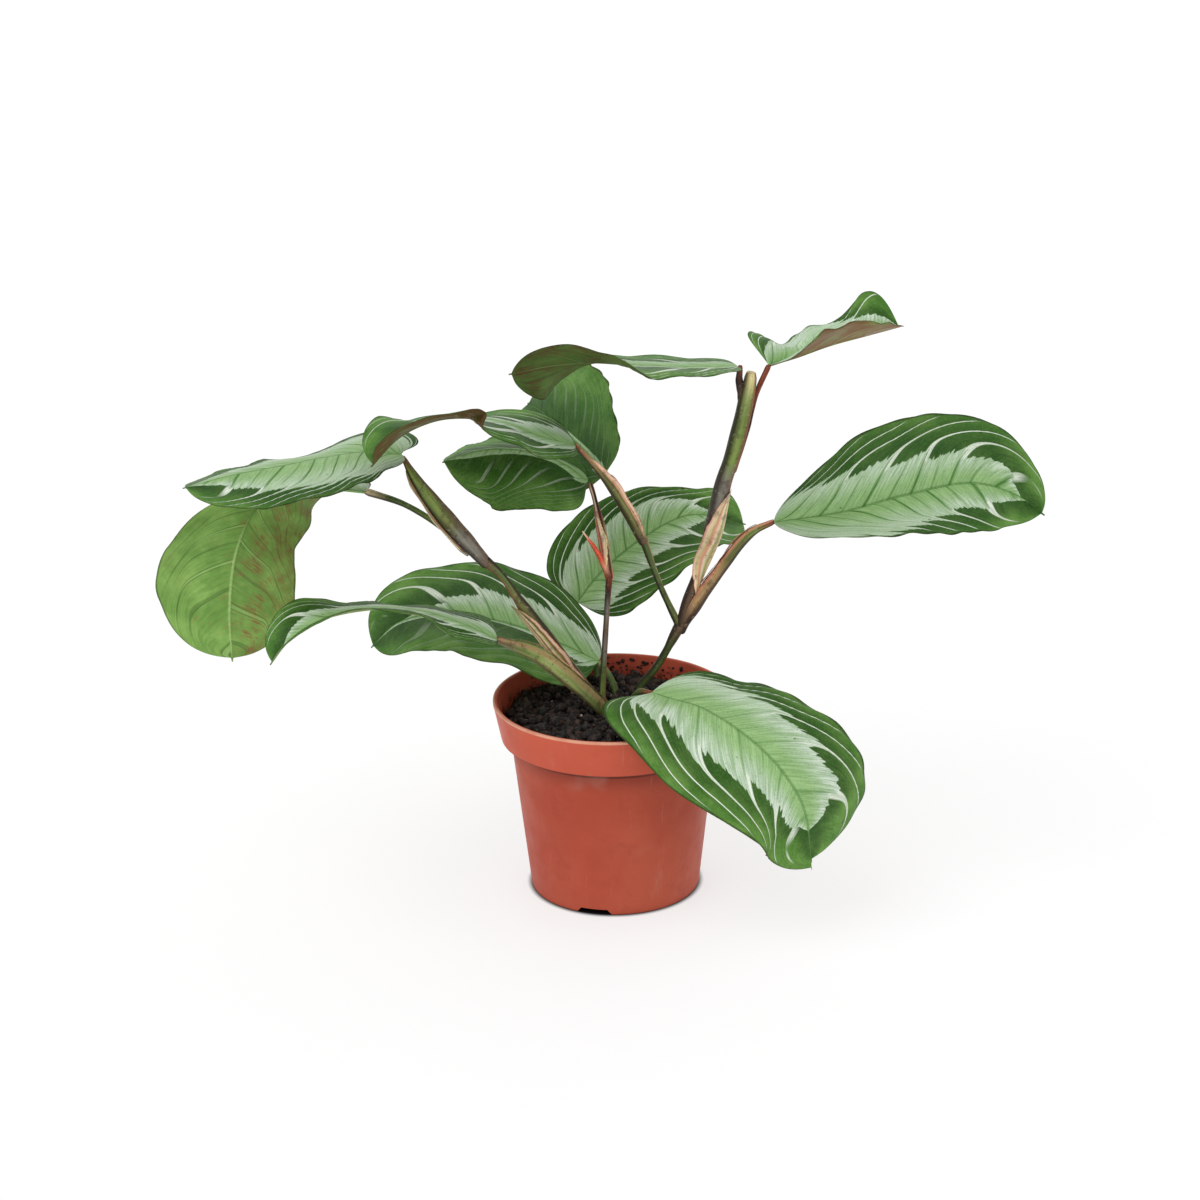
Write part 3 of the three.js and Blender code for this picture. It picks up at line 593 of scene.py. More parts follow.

# around a stem 270 is the front; lines: where a stripe runs, how wide it is and its tone; a dusk stripe is
# painted shade down a stem's dark side
# seam: where the sheath's free edge starts; a negative width runs backwards; gape: how far its top stands off
stems = [
    {"name": "stem_right", "slot": "stem", "tubes": [
        {"route": [[10, 32, 80], [12, 31, 90], [22.8, 29, 105], [34, 28, 126]],
         "radii": [2.0, 2.0, 2.0, 2.0, 3.0],
         "tones": "pale green green green brown", "lines": [(205, 55, "dusk"), (345, 35, "brown")]},
        {"route": [[34, 28, 123], [37, 28, 130], [51.8, 27, 152.6], [69.4, 24, 176.4], [80.2, 22, 182.8]],
         "radii": [2.6, 3.7, 3.1, 2.9, 2.5, 1.4],
         "tones": "brown brown tan tan tan olive olive moss rust",
         "lines": [(330, 60, "dusk"), (205, 34, "pink")],
         "sheath": {"seam": 175, "from": 0.16, "to": 0.9, "wide": 2.0, "across": "rust tan pink"}},
        {"route": [[35, 28, 126], [37.7, 28, 138], [43.3, 29, 153], [50, 30, 172], [56.4, 31, 201],
                   [60.3, 31.5, 213],
                   [65.4, 32, 233], [67.6, 32, 244], [69, 31.6, 251], [69.8, 31, 256.5]],
         "radii": [3.0, 2.8, 2.7, 3.5, 4.6, 4.4, 4.1, 4.1, 4.2, 4.0, 3.0],
         "tones": "brown brown brown brown brown grey grey grey moss moss moss pale straw",
         "lines": [(212, 56, "dusk"), (338, 36, "rust")],
         "sheath": {"seam": 348, "from": 0.12, "to": 0.56, "wide": -10,
                    "across": "pink cream straw pale cream pink straw cream pink"}},
        {"route": [[66, 32, 238], [65.4, 31.8, 246], [64, 31.2, 253.5], [64.5, 30.3, 260.2]],
         "radii": [2.4, 2.3, 1.9, 1.3], "tones": "dusk brown dusk rust", "lines": [(200, 60, "dusk")]},
        {"route": [[61, 32, 206], [68, 34, 227], [72.6, 35, 245], [78.6, 37.6, 258.1]],
         "radii": [1.6, 1.4, 1.3, 1.4],
         "tones": "rust rust dusk rust rust", "lines": [(200, 40, "dusk")]},
        {"route": [[34, 28, 126], [23.9, 27, 150.1], [16, 26, 174]], "radii": [2.0, 1.6, 1.6, 2.2],
         "tones": "olive green green green green", "lines": [(205, 66, "dusk"), (345, 34, "tan")]},
        {"route": [[16.7, 26, 171.5], [9.5, 22.5, 187.2], [-0.2, 16, 206.1], [-8.3, 11.8, 217.9],
                   [-16.3, 10.4, 227.6]],
         "radii": [2.5, 2.7, 2.7, 2.5, 1.7, 1.3], "tones": "brown olive olive olive olive tan rust",
         "lines": [(206, 70, "dusk"), (320, 30, "tan")],
         "sheath": {"seam": 305, "from": 0.02, "to": 0.86, "wide": 2.6, "across": "olive pink cream pink"}},
        {"route": [[9.5, 25, 190], [4.9, 30, 199.5], [1, 36, 203], [-2.4, 41.2, 202]],
         "radii": [1.2, 1.1, 0.9, 1.2],
         "tones": "cream tan rust tan"},
    ]},
    {"name": "stem_middle", "slot": "stem", "tubes": [
        {"route": [[-6, 12, 80], [-5.3, 14, 97.9], [-3.9, 19, 116.8], [-2.1, 24.5, 140.7], [-0.9, 27, 155.1]],
         "radii": [1.9, 1.9, 1.6, 1.45, 1.45, 1.8],
         "tones": "pale pale moss green grey brown grey dusk rust",
         "lines": [(208, 40, "dusk"), (340, 34, "rust")]},
        {"route": [[-0.8, 27, 152.5], [-4, 30, 173.6], [-8, 32.8, 194], [-9.6, 33, 200]],
         "radii": [2.2, 2.6, 2.6, 2.3, 1.3, 1.3], "tones": "coral tan tan tan rust dusk rust",
         "lines": [(300, 24, "dusk"), (200, 22, "rust"), (255, 22, "cream")],
         "sheath": {"seam": 235, "from": 0.06, "to": 0.72, "wide": 3.2, "across": "pink rust cream straw"}},
        {"route": [[-1.1, 26.4, 154], [-7.3, 25, 168.3], [-13.5, 24, 178.2]], "radii": [1.7, 1.5, 1.1, 0.4],
         "tones": "rust pink coral coral coral cream", "lines": [(200, 40, "rust")]},
    ]},
    {"name": "stem_left", "slot": "stem", "tubes": [
        {"route": [[-4, 8, 82], [-7, 6, 91], [-24, -3, 120], [-43.8, -6.8, 151.5], [-54, -7.6, 168],
                   [-62, -8, 176]],
         "radii": [3.0, 3.2, 3.4, 3.6, 3.7, 3.7, 3.5, 3.0, 2.1, 1.9, 2.8],
         "tones": "green brown tan tan tan tan olive olive olive green brown",
         "lines": [(206, 40, "rust"), (336, 40, "dusk")],
         "sheath": {"seam": 215, "from": 0.04, "to": 0.76, "wide": 6.8, "gape": 2.2,
                    "across": "rust cream olive straw rust cream pale rust cream pink"}},
        {"route": [[-60, -8, 173], [-80, -8, 197.5], [-93.5, -4, 215.5], [-100, 3.6, 224.6]],
         "radii": [2.8, 4.2, 4.4, 3.2, 1.3], "tones": "brown grey grey olive moss moss moss rust",
         "lines": [(208, 40, "dusk"), (334, 34, "brown")],
         "sheath": {"seam": 212, "from": 0.16, "to": 0.9, "wide": -3.4,
                    "across": "rust tan brown cream pale"}},
        {"route": [[-60, -8, 173], [-66, -6, 178], [-83, 2, 190], [-101, 10, 199], [-119.2, 17.8, 203]],
         "radii": [1.8, 1.8, 1.5, 1.5, 1.9], "tones": "brown green green moss green green cream",
         "lines": [(220, 40, "dusk")]},
    ]},
    {"name": "stalk_low", "slot": "stalk", "tubes": [
        {"route": [[-1, -2, 84], [-5, -5, 94], [-21, -14, 115.2], [-38, -22, 132.2], [-55.5, -27.7, 141.6]],
         "radii": [3.4, 3.5, 3.9, 4.2, 4.2, 3.5, 1.9],
         "tones": "olive moss pale pale pale moss brown", "lines": [(215, 44, "brown"), (320, 26, "tan")],
         "sheath": {"seam": 10, "from": 0.1, "to": 0.9, "wide": -2.4, "across": "tan pink tan"}},
    ]},
    {"name": "stalk_front", "slot": "stalk", "tubes": [
        {"route": [[4, 4, 82], [8, 0, 95], [13, -12, 107], [18.6, -27.4, 112.4]],
         "radii": [1.8, 1.7, 1.6, 1.2],
         "tones": "pale green green rust"},
    ]},
    {"name": "stalk_rear_low", "slot": "stalk", "tubes": [
        {"route": [[2, 25, 82], [1, 28, 93], [-3, 32, 101], [-6.2, 35.2, 104.2]],
         "radii": [1.8, 1.7, 1.6, 1.2],
         "tones": "pale green green pale"},
    ]},
    {"name": "stalk_rear_high", "slot": "stalk", "tubes": [
        {"route": [[-8, 44, 82], [-8, 48, 97], [-10, 57, 107], [-13, 68, 114], [-17.2, 76.4, 119.6]],
         "radii": [1.8, 1.7, 1.6, 1.5, 1.2], "tones": "pale green green green pale"},
    ]},
]
stemDetail = {
    "sides": 36, "steps": 90, "flapSteps": 80, "flapRows": 18, "streak": 0.5, "line": 0.85, "end": 0.35,
    "light": 1.12, "runOn": 0.9, "grainTone": (200, 196, 150),
}
# small marks on the skin: noise scale, detail and roughness, where they start and are full, share and colour
stemMarks = [
    (210, 5, 0.7, 0.5, 0.66, 0.5, (66, 50, 40)),
    (620, 2, 0.55, 0.64, 0.7, 0.55, (52, 36, 30)),
    (480, 3, 0.55, 0.62, 0.7, 0.3, (196, 190, 160)),
]


def stemLook(name, gloss):
    material, tree, shader = newMaterial(name)
    where = objectPlace(tree)
    tone = addNode(tree, "ShaderNodeVertexColor", layer_name="stemTone").outputs["Color"]
    x, y, z = split(tree, where)
    fibres = joinVector(tree, times(tree, x, 900), times(tree, y, 900), times(tree, z, 110))
    fine = speckle(tree, fibres, 1.0, 4, 0.6)
    grain = photoColour(*stemDetail["grainTone"])
    tone = mixColour(tree, fade(tree, fine, 0.3, 0.75, 0.0, 0.5), tone, grain, "SOFT_LIGHT")
    for scale, detail, rough, low, high, share, colour in stemMarks:
        marks = fade(tree, speckle(tree, where, scale, detail, rough), low, high)
        tone = tint(tree, tone, times(tree, marks, share), colour)
    link(tree, tone, shader.inputs["Base Color"])
    rough = fade(tree, speckle(tree, where, 300, 3), 0.3, 0.7, gloss - 0.1, gloss + 0.12)
    link(tree, rough, shader.inputs["Roughness"])
    shader.inputs["Specular IOR Level"].default_value = 0.22
    roughen(tree, shader, fine, 0.35, 0.0003)
    return material


def aroundFrame(ahead):
    # two directions square to the route, turning as little as possible along it
    side = np.zeros_like(ahead)
    start = np.cross(ahead[0], (0, -1, 0.2))
    side[0] = start / np.linalg.norm(start)
    for i in range(1, len(ahead)):
        kept = side[i - 1] - ahead[i] * np.dot(side[i - 1], ahead[i])
        side[i] = kept / np.linalg.norm(kept)
    return side, np.cross(ahead, side)


def toneRow(tones, s):
    stops = np.array([photoColour(*stemTones[name])[:3] for name in tones.split()])
    at = np.linspace(0, 1, len(stops))
    mixed = stemDetail["light"] * np.stack([np.interp(s, at, stops[:, k]) for k in range(3)], 1)
    return np.hstack([mixed, np.ones((len(s), 1))])


def streaks(angle, s, seed):
    # long light and dark fibres that keep their place around the stem
    way = [[noise.fractal(Vector((2.6 * math.cos(a) + seed, 2.6 * math.sin(a), 3.2 * t)), 1.0, 2.0, 3)
            for a in angle]
           for t in s]
    return 1 + stemDetail["streak"] * np.array(way)


def gridRim(rows, columns):
    # the points around the edge of a grid, in order
    line = columns + 1
    rim = list(range(columns)) + [row * line + columns for row in range(rows)]
    return rim + [rows * line + k for k in range(columns, 0, -1)] + [row * line for row in range(rows, 0, -1)]


def tubeShape(tube, seed):
    # a round stem with a slightly uneven skin; a sheath shows as a step where its edge laps over
    steps, sides = stemDetail["steps"], stemDetail["sides"]
    s = np.linspace(0, 1, steps + 1)
    place, ahead = smoothRoute(tube["route"], s)
    side, over = aroundFrame(ahead)
    place[-1] += stemDetail["runOn"] * ahead[-1]  # the end runs on to the leaf's base
    radius = along(tube["radii"], s)
    angle = np.arange(sides) * 2 * math.pi / sides
    rings = []
    sheath = tube.get("sheath")
    tones = toneRow(tube["tones"], s)[:, None, :] * streaks(angle, s, seed)[..., None]
    for place360, wide, name in tube.get("lines", ()):
        # a stripe that runs up one side; a dark dusk stripe is painted shade on that side
        off = np.abs((angle - math.radians(place360) + math.pi) % (2 * math.pi) - math.pi)
        share = stemDetail["line"] * np.clip(1.7 * (1 - off / math.radians(wide)), 0, 1)[None, :, None]
        tones = tones * (1 - share) + share * np.array(photoColour(*stemTones[name]))
    for i in range(steps + 1):
        r = radius[i] * (1 + 0.035 * np.sin(3 * angle + seed + 5 * s[i]) + 0.02 * math.sin(31 * s[i] + seed))
        if sheath:
            turn = ((angle - math.radians(sheath["seam"])) / (2 * math.pi)) % 1
            r = r * (0.94 + 0.1 * turn)
        if i in (0, steps):
            r = r * 0.8
        rings.append(place[i] + np.outer(np.cos(angle) * r, side[i]) + np.outer(np.sin(angle) * r, over[i]))
    points = np.vstack(rings)
    faces = [tuple(reversed(range(sides))), tuple(steps * sides + k for k in range(sides))]
    for i in range(steps):
        faces += [(i * sides + k, i * sides + (k + 1) % sides, (i + 1) * sides + (k + 1) % sides,
                   (i + 1) * sides + k)
                  for k in range(sides)]
    tones[..., 3] = 1
    return points, faces, tones.reshape(-1, 4)


def flapShape(tube, seed):
    # the sheath's free edge: a thin papery strip that runs up the seam and stands a little off it
    sheath = tube["sheath"]
    steps, rows = stemDetail["flapSteps"], stemDetail["flapRows"]
    share = np.linspace(0, 1, steps + 1)
    s = sheath["from"] + (sheath["to"] - sheath["from"]) * share
    place, _ = smoothRoute(tube["route"], s)
    skinSteps = stemDetail["steps"]
    side, over = aroundFrame(smoothRoute(tube["route"], np.linspace(0, 1, skinSteps + 1))[1])
    pick = np.round(s * skinSteps).astype(int)
    side, over = side[pick], over[pick]
    radius = along(tube["radii"], s)
    ragged = np.array([noise.fractal(Vector((seed, t * 9, 0.3)), 1.0, 2.0, 4) for t in share])
    turn = 1 if sheath["wide"] > 0 else -1
    closing = np.sqrt(np.clip((1 - share) / stemDetail["end"], 0.02, 1))
    width = (abs(sheath["wide"]) * np.minimum(1, 2.4 * share + 0.12) + 0.6 * ragged) * closing
    across = np.linspace(0, 1, rows + 1)
    tones = toneRow(sheath["across"], across)[:, None, :] * streaks(2.4 * across, s, seed + 5).T[..., None]
    own = toneRow(tube["tones"], s)[None]
    fresh = (0.92 * np.minimum(1, 9 * np.minimum(share, 1 - share)))[None, :, None]
    tones = own * (1 - fresh) + tones * fresh
    tones[..., 3] = 1
    grids = []
    for layer in (0.0, 0.16):
        for row in range(rows + 1):
            t = row / rows
            lift = (0.9 * t ** 2 + 0.25 * t * np.sin(share * 17 + seed)) * np.minimum(1, 1.6 * closing)
            lift = 0.22 + layer + lift + sheath.get("gape", 0) * share ** 5
            angle = math.radians(sheath["seam"]) + turn * (t * width - 0.4) / np.maximum(radius, 0.8)
            reach = radius * 1.03 + lift
            sideways, outwards = (np.cos(angle) * reach)[:, None], (np.sin(angle) * reach)[:, None]
            grids.append(place + sideways * side + outwards * over)
    tones = np.concatenate([tones, tones]).reshape(-1, 4)
    points = np.vstack(grids)
    line, half = steps + 1, (rows + 1) * (steps + 1)
    faces = []
    for row in range(rows):
        for i in range(steps):
            a, b = row * line + i, (row + 1) * line + i
            faces.append((a, a + 1, b + 1, b))
            faces.append((half + a, half + b, half + b + 1, half + a + 1))
    rim = gridRim(rows, steps)
    faces += [(a, half + a, half + b, b) for a, b in zip(rim, rim[1:] + rim[:1])]
    return points, faces if turn > 0 else [face[::-1] for face in faces], tones


def makeStems(looks):
    for number, stem in enumerate(stems):
        shapes = []
        for k, tube in enumerate(stem["tubes"]):
            seed = 2.3 * number + 1.7 * k
            shapes.append(tubeShape(tube, seed))
            if "sheath" in tube:
                shapes.append(flapShape(tube, seed))
        points, faces = gather([(shape[0], shape[1]) for shape in shapes])
        piece = makePiece(stem["name"] + "Skin", points, faces, [looks[stem["slot"]]],
                          [stem["name"]])
        paint(piece, "stemTone", np.vstack([shape[2] for shape in shapes]))


makeStems({"stem": stemLook("stemSkin", 0.5), "stalk": stemLook("stalkSkin", 0.45)})
print("the stems stand")

# the leaves
# left and right are the angles of the two halves along the midrib; wide, curl, slide and band go the same way
# dim darkens a blade's whole upper face and shade its underside: painted shade on blades that sit in shade
plainLeaf = {
    "up": [0, 0, 1], "full": 2.3, "lean": 0.9,
    "curlLeft": [4, 6, 4], "curlRight": [4, 6, 4], "wideLeft": [1, 1], "wideRight": [1, 1],
    "slideLeft": [0, 0], "slideRight": [0, 0], "lobeLeft": 4, "lobeRight": 4,
    "wave": 0.8, "waves": 4, "phase": 0, "veins": 7.3,
    "bandLeft": [0.9, 0.66, 0.58, 0.53, 0.48, 0.36, 0], "bandRight": [0.9, 0.66, 0.58, 0.53, 0.48, 0.36, 0],
    "silver": 1, "deep": 1, "streakLeft": 1, "streakRight": 1, "frill": 1, "sweep": 1, "inner": 0.6,
    "dim": 0, "flushLeft": 0.6, "flushRight": 0.6, "shade": 1,
}
leaves = [
    {"name": "leaf_01", "half": 41, "full": 2.6, "lean": 1.2,
     "bandLeft": [0.9, 0.74, 0.66, 0.6, 0.52, 0.3, -1.2],
     "bandRight": [0.8, 0.56, 0.52, 0.48, 0.44, 0.3, -1.2],
     "veins": 6.3, "inner": 0.45, "deep": 0.95,
     "midrib": [[19, -28, 113], [30, -38, 113], [42, -48, 113], [62, -60, 104], [79, -68, 89], [90, -74, 71],
                [94, -76, 43]],
     "left": [24, 4, 18, 20, 20],
     "right": [-10, -12, -40, -54, -50, -45, -40],
     "curlLeft": [10, 15, 15],
     "curlRight": [20, 40, 40, 30, 20],
     "wideLeft": [1.1, 1.02, 1, 1.18, 1.2],
     "wideRight": [1, 1.14, 1.14, 0.95, 0.73, 0.68, 0.8],
     "slideRight": [0, 0, 4, 14, 20, 12, 4],
     "lobeLeft": 2,
     "lobeRight": 24},
    {"name": "leaf_02", "half": 38, "full": 2.4, "lean": 1.25,
     "bandLeft": [1, 0.68, 0.53, 0.46, 0.43, 0.34, -0.6], "bandRight": [1, 1, 1, 0.88, 0.6, 0.38, -0.3],
     "veins": 6.6, "inner": 1, "dim": 0.12, "silver": 0.75, "deep": 1.7,
     "midrib": [[81, 22, 183], [114, 20, 188], [145, 15, 198], [178, 8, 206], [199, 2, 201], [211, -4, 193]],
     "left": [50, 58, 60, 60, 60],
     "right": [-10, -6, -14, -24, -22],
     "curlLeft": [0, 10, 10],
     "curlRight": [0, 10, 20],
     "wideLeft": [0.8, 0.97, 1.02, 0.88, 0.45],
     "lobeLeft": 0,
     "lobeRight": 0},
    {"name": "leaf_03", "half": 26, "lean": 0.75,
     "bandLeft": [0.45, 0.55, 0.85, 0.95, 0.95, 0.5, 0.1], "flushLeft": 0.9, "flushRight": 0.9, "deep": 0.6,
     "veins": 5,
     "midrib": [[79, 38, 259], [93, 52, 259], [111, 66, 261], [131, 80, 262], [149, 92, 263]],
     "left": [40, 30, -2, 4, 8, 44, 60],
     "right": [20, 38, 40, 36, 26, 20],
     "curlLeft": [40, 20, 0, 0, 0],
     "wideLeft": [1.2, 1, 0.8, 0.86, 1, 1.03, 0.9, 1.48, 2.2],
     "lobeLeft": 4},
    {"name": "leaf_04", "half": 34,
     "bandLeft": [0.5, 0.3, 0.2, 0.15, 0.2, 0.2, 0], "bandRight": [0.6, 0.45, 0.3, 0.3, 0.3, 0.2, 0],
     "flushLeft": 0.55, "flushRight": 0.55, "shade": 0.45, "dim": 0.15, "veins": 4.5, "sweep": 1.6,
     "deep": 0.75,
     "silver": 0.55,
     "midrib": [[63, 30, 261], [40, 26, 262], [15, 20, 265], [-7, 12, 269], [-28, 4, 270], [-48, 0, 267]],
     "left": [8, 8, 6, 4, 20, 36, 38],
     "right": [-5, -6, -6, -8, -28, -56, -60],
     "wideLeft": [1, 1, 1, 1.05, 1.2],
     "wideRight": [1, 1, 1, 1, 1.1]},
    {"name": "leaf_05", "half": 30, "full": 2.4,
     "bandLeft": [0.2, 0.1, 0, 0, 0, 0, 0], "bandRight": [0.25, 0.12, 0.06, 0.04, 0, 0, 0],
     "silver": 0.6, "streakLeft": 0.16, "streakRight": 0.12, "veins": 11, "deep": 1.5, "dim": 0.15,
     "midrib": [[-3, 42, 202], [-12, 62, 208], [-25, 86, 214], [-35, 106, 217], [-42, 124, 216]],
     "left": [-40, -42, -40, -35, -30],
     "right": [60, 66, 67, 66, 60],
     "wideLeft": [0.8, 0.85, 0.9, 1],
     "wideRight": [0.95, 0.92, 1.18, 1.25, 1.15, 1, 1]},
    {"name": "leaf_06", "half": 30,
     "bandLeft": [0.6, 0.4, 0.25, 0.2, 0.2, 0.2, 0], "bandRight": [0.7, 0.45, 0.25, 0.2, 0.2, 0.2, 0],
     "flushLeft": 0.85, "flushRight": 0.85, "shade": 0.55, "veins": 4.6, "sweep": 1.5, "dim": 0.12,
     "midrib": [[-17, 10, 228], [-34, 0, 236], [-52, -8, 246], [-74, -14, 250], [-88, -28, 251],
                [-100, -38, 247], [-112, -46, 236]],
     "left": [-25, -28, -12, 8, 22, 36, 60],
     "right": [28, 20, -5, -14, -10, 10, 35],
     "wideLeft": [0.6, 0.6, 0.9, 1, 1, 1, 1]},
    {"name": "leaf_07", "half": 31.5, "lean": 0.8,
     "bandLeft": [0.3, 0.12, 0.08, 0.08, 0.1, 0.1, 0], "bandRight": [0.4, 0.2, 0.1, 0.05, 0.05, 0.05, 0],
     "veins": 6.5, "sweep": 2.1, "deep": 1.4, "streakLeft": 0.28, "streakRight": 0.3, "silver": 0.3,
     "midrib": [[-11, 34, 202], [-25, 32, 213], [-44, 26, 221], [-64, 20, 223], [-82, 14, 219]],
     "left": [-30, -47, -53, -55, -50],
     "right": [5, -5, -4, -12, -14],
     "wideLeft": [0.95, 0.94, 1, 1.18, 1.3],
     "lobeLeft": 6},
    {"name": "leaf_08", "half": 35, "lean": 0.85,
     "bandLeft": [1, 0.9, 0.8, 0.75, 0.6, 0.3, 0], "bandRight": [0.9, 0.8, 0.75, 0.7, 0.6, 0.4, 0],
     "veins": 7, "sweep": 1.3, "silver": 0.85, "inner": 1, "dim": 0.08, "deep": 1.3,
     "midrib": [[-101, 5, 226], [-119, -3, 230], [-138, -14, 231], [-156, -26, 231], [-178, -36, 230],
                [-201, -46, 227]],
     "left": [-4, -6, -11, -18, -22],
     "right": [42, 12, -12, -14, -12, -13, -14, -13],
     "wideLeft": [1, 1.05, 1, 1, 1],
     "wideRight": [0.3, 0.9, 1, 1, 1, 1, 1, 1],
     "lobeLeft": -6,
     "lobeRight": 20},
    {"name": "leaf_09", "half": 40, "up": [0, 1, 0], "full": 2.7,
     "veins": 8, "sweep": 0.6, "frill": 0.35, "flushLeft": 0.12, "flushRight": 0.5,
     "midrib": [[-120, 18, 203], [-141, 22, 204], [-160, 24, 203], [-175, 24, 194], [-185, 16, 175],
                [-190, 13, 144], [-190, 12, 117]],
     "left": [-70, -70, -60, -20, 0, 0, 0],
     "right": [90, 75, 35, 20, 20, 10, 0],
     "wideLeft": [0.6, 0.6, 0.45, 0.72, 0.97, 1.04, 1.1],
     "wideRight": [0.8, 0.8, 0.85, 0.75, 0.85, 1, 1.1],
     "slideLeft": [0, 0, 0, 10, 8, 0, 0]},
    {"name": "leaf_10", "half": 27,
     "bandLeft": [0.6, 0.42, 0.4, 0.5, 0.5, 0.3, -0.3], "bandRight": [0.6, 0.45, 0.4, 0.45, 0.45, 0.3, -0.3],
     "flushLeft": 0.5, "flushRight": 0.5, "shade": 0.9, "veins": 7, "sweep": 1.2, "deep": 1.2,
     "midrib": [[-56, -28, 142], [-71, -36, 153], [-90, -42, 162], [-113, -48, 166], [-139, -52, 162],
                [-154, -56, 153], [-163, -58, 142]],
     "left": [-30, -30, 10, 20, 20, 20],
     "right": [35, 2, -12, -14, -5, 25, 40],
     "wideLeft": [0.4, 0.5, 0.9, 1, 1]},
    {"name": "leaf_11", "half": 42,
     "bandLeft": [0.4, 0.16, 0.08, 0.04, 0.05, 0.08, 0], "bandRight": [0.85, 0.56, 0.52, 0.46, 0.24, 0, -0.1],
     "veins": 6, "inner": 0.7, "deep": 1.5, "streakLeft": 0.2,
     "midrib": [[-7, 36, 105], [-27, 42, 113], [-52, 46, 122], [-82, 48, 127], [-108, 46, 124],
                [-123, 44, 111]],
     "left": [-20, -8, -8, -8, -20],
     "right": [30, 22, 20, 20, 20],
     "wideRight": [0.55, 0.95, 1.05, 1, 1.1],
     "lobeRight": 0},
    {"name": "leaf_12", "half": 35, "full": 2.6,
     "bandLeft": [0.7, 0.62, 0.6, 0.64, 0.6, 0.1, -0.4], "bandRight": [0.8, 0.6, 0.5, 0.44, 0.36, 0, -0.4],
     "veins": 6.2, "inner": 0.85, "deep": 1.05,
     "midrib": [[-17.6, 78.4, 121.4], [-6, 88, 133], [16, 100, 148], [42, 112, 157], [72, 122, 148]],
     "left": [40, 46, 46, 46, 46],
     "right": [-20, -20, -18, -16, -16],
     "wideLeft": [1, 0.94, 0.78, 0.52, 1],
     "lobeRight": 5},
]
leafDetail = {"rows": 120, "columns": 34, "thickness": 0.4, "pleat": 0.75, "flutter": 0.45, "scallop": 0.9,
              "rib": 0.7}


def veinPhase(leaf, s, v, side, seed):
    # whole numbers of this fall on the side veins, which leave the midrib and then arch towards the tip
    sway = 0.2 * np.sin(5.1 * s + seed) + 0.1 * np.sin(11.7 * s + 2.1 * seed + side)
    arch = (v - 0.63 + np.sqrt((v - 0.63) ** 2 + 0.005)) / 2
    # close to the tip they reach the margin sooner, and leave the midrib further apart
    shorter = 1 - 0.4 * np.clip((s - 0.45) / 0.55, 0, 1) ** 1.5
    start = s - leaf["sweep"] * (0.21 * v + 0.92 * arch) * shorter
    return leaf["veins"] * (start - 0.8 * np.maximum(0, start - 0.5) ** 2) + sway + 0.45 * (side > 0)


def leafSurface(leaf, seed):
    rows, columns = leafDetail["rows"], leafDetail["columns"]
    s = (1 - np.cos(math.pi * np.arange(rows + 1) / rows)) / 2
    centre, ahead = smoothRoute(leaf["midrib"], s)
    across = unit(np.cross(ahead, leaf["up"]))
    above = np.cross(across, ahead)
    j = np.arange(-columns, columns + 1)
    side, v = np.sign(j), (np.abs(j) / columns) ** 1.2

    def pick(name):
        left, right = (along(leaf[name + half], s)[:, None] for half in ("Left", "Right"))
        return np.where(side > 0, right, left)

    angle, curl = np.radians(pick("angle")), np.radians(pick("curl"))
    x = np.minimum(s / 0.985, 1) ** leaf["lean"]
    body = np.sqrt(np.maximum(0, 1 - np.abs(2 * x - 1) ** leaf["full"]))
    tip = np.where(s > 0.5, 0.06 * np.minimum((1 - s) / 0.05, 1), 0)
    share = np.maximum(body, tip)[:, None] * pick("wide")
    width = np.maximum(np.maximum(leaf["half"] * share, 1.2 * (1 - s)[:, None]), 0.4)
    lobe = np.where(side > 0, leaf["lobeRight"], leaf["lobeLeft"])
    slide = pick("slide") - lobe * (s / 0.1 * np.exp(1 - s / 0.1))[:, None]
    curl = np.where(np.abs(curl) < 1e-3, 1e-3, curl)
    start = angle + curl / 2
    end = start - curl * v
    out, rise = (np.sin(start) - np.sin(end)) / curl, (np.cos(end) - np.cos(start)) / curl
    slope = angle + curl * (0.5 - v)
    ripple = np.sin(2 * math.pi * leaf["waves"] * s[:, None] + leaf["phase"] + side)
    wave = leaf["wave"] * v ** 2 * np.sin(math.pi * s)[:, None] * ripple
    place = (centre[:, None, :]
             + across[:, None, :] * (side * (out * width - wave * np.sin(slope)))[..., None]
             + above[:, None, :] * (rise * width + wave * np.cos(slope))[..., None]
             + ahead[:, None, :] * (slide * v ** 2)[..., None])
    # the blade swells between its side veins and its margin flutters
    phase = veinPhase(leaf, s[:, None], v, side, seed)
    inner = np.sin(math.pi * s)[:, None] ** 0.5 * v ** 0.7 * (1 - v ** 4)
    swell = leafDetail["pleat"] * (np.abs(np.sin(math.pi * phase)) ** 0.8 - 0.6) * inner
    swell += 0.12 * np.sin(4 * math.pi * phase) * inner
    ends = np.sin(math.pi * s)[:, None] ** 0.5
    flutter = leaf["frill"] * leafDetail["flutter"] * v ** 4 * ends * np.sin(2 * math.pi * phase + 1.3 * side)
    relief = (swell + flutter) * np.minimum(1, width / 12)
    scallop = leaf["frill"] * leafDetail["scallop"] * v ** 5 * ends * (np.abs(np.sin(math.pi * phase)) - 0.64)
    place = place + facing(place) * relief[..., None] + across[:, None, :] * (side * scallop)[..., None]
    return place, s, v, width


def facing(place):
    return unit(np.cross(np.gradient(place, axis=1), np.gradient(place, axis=0)))


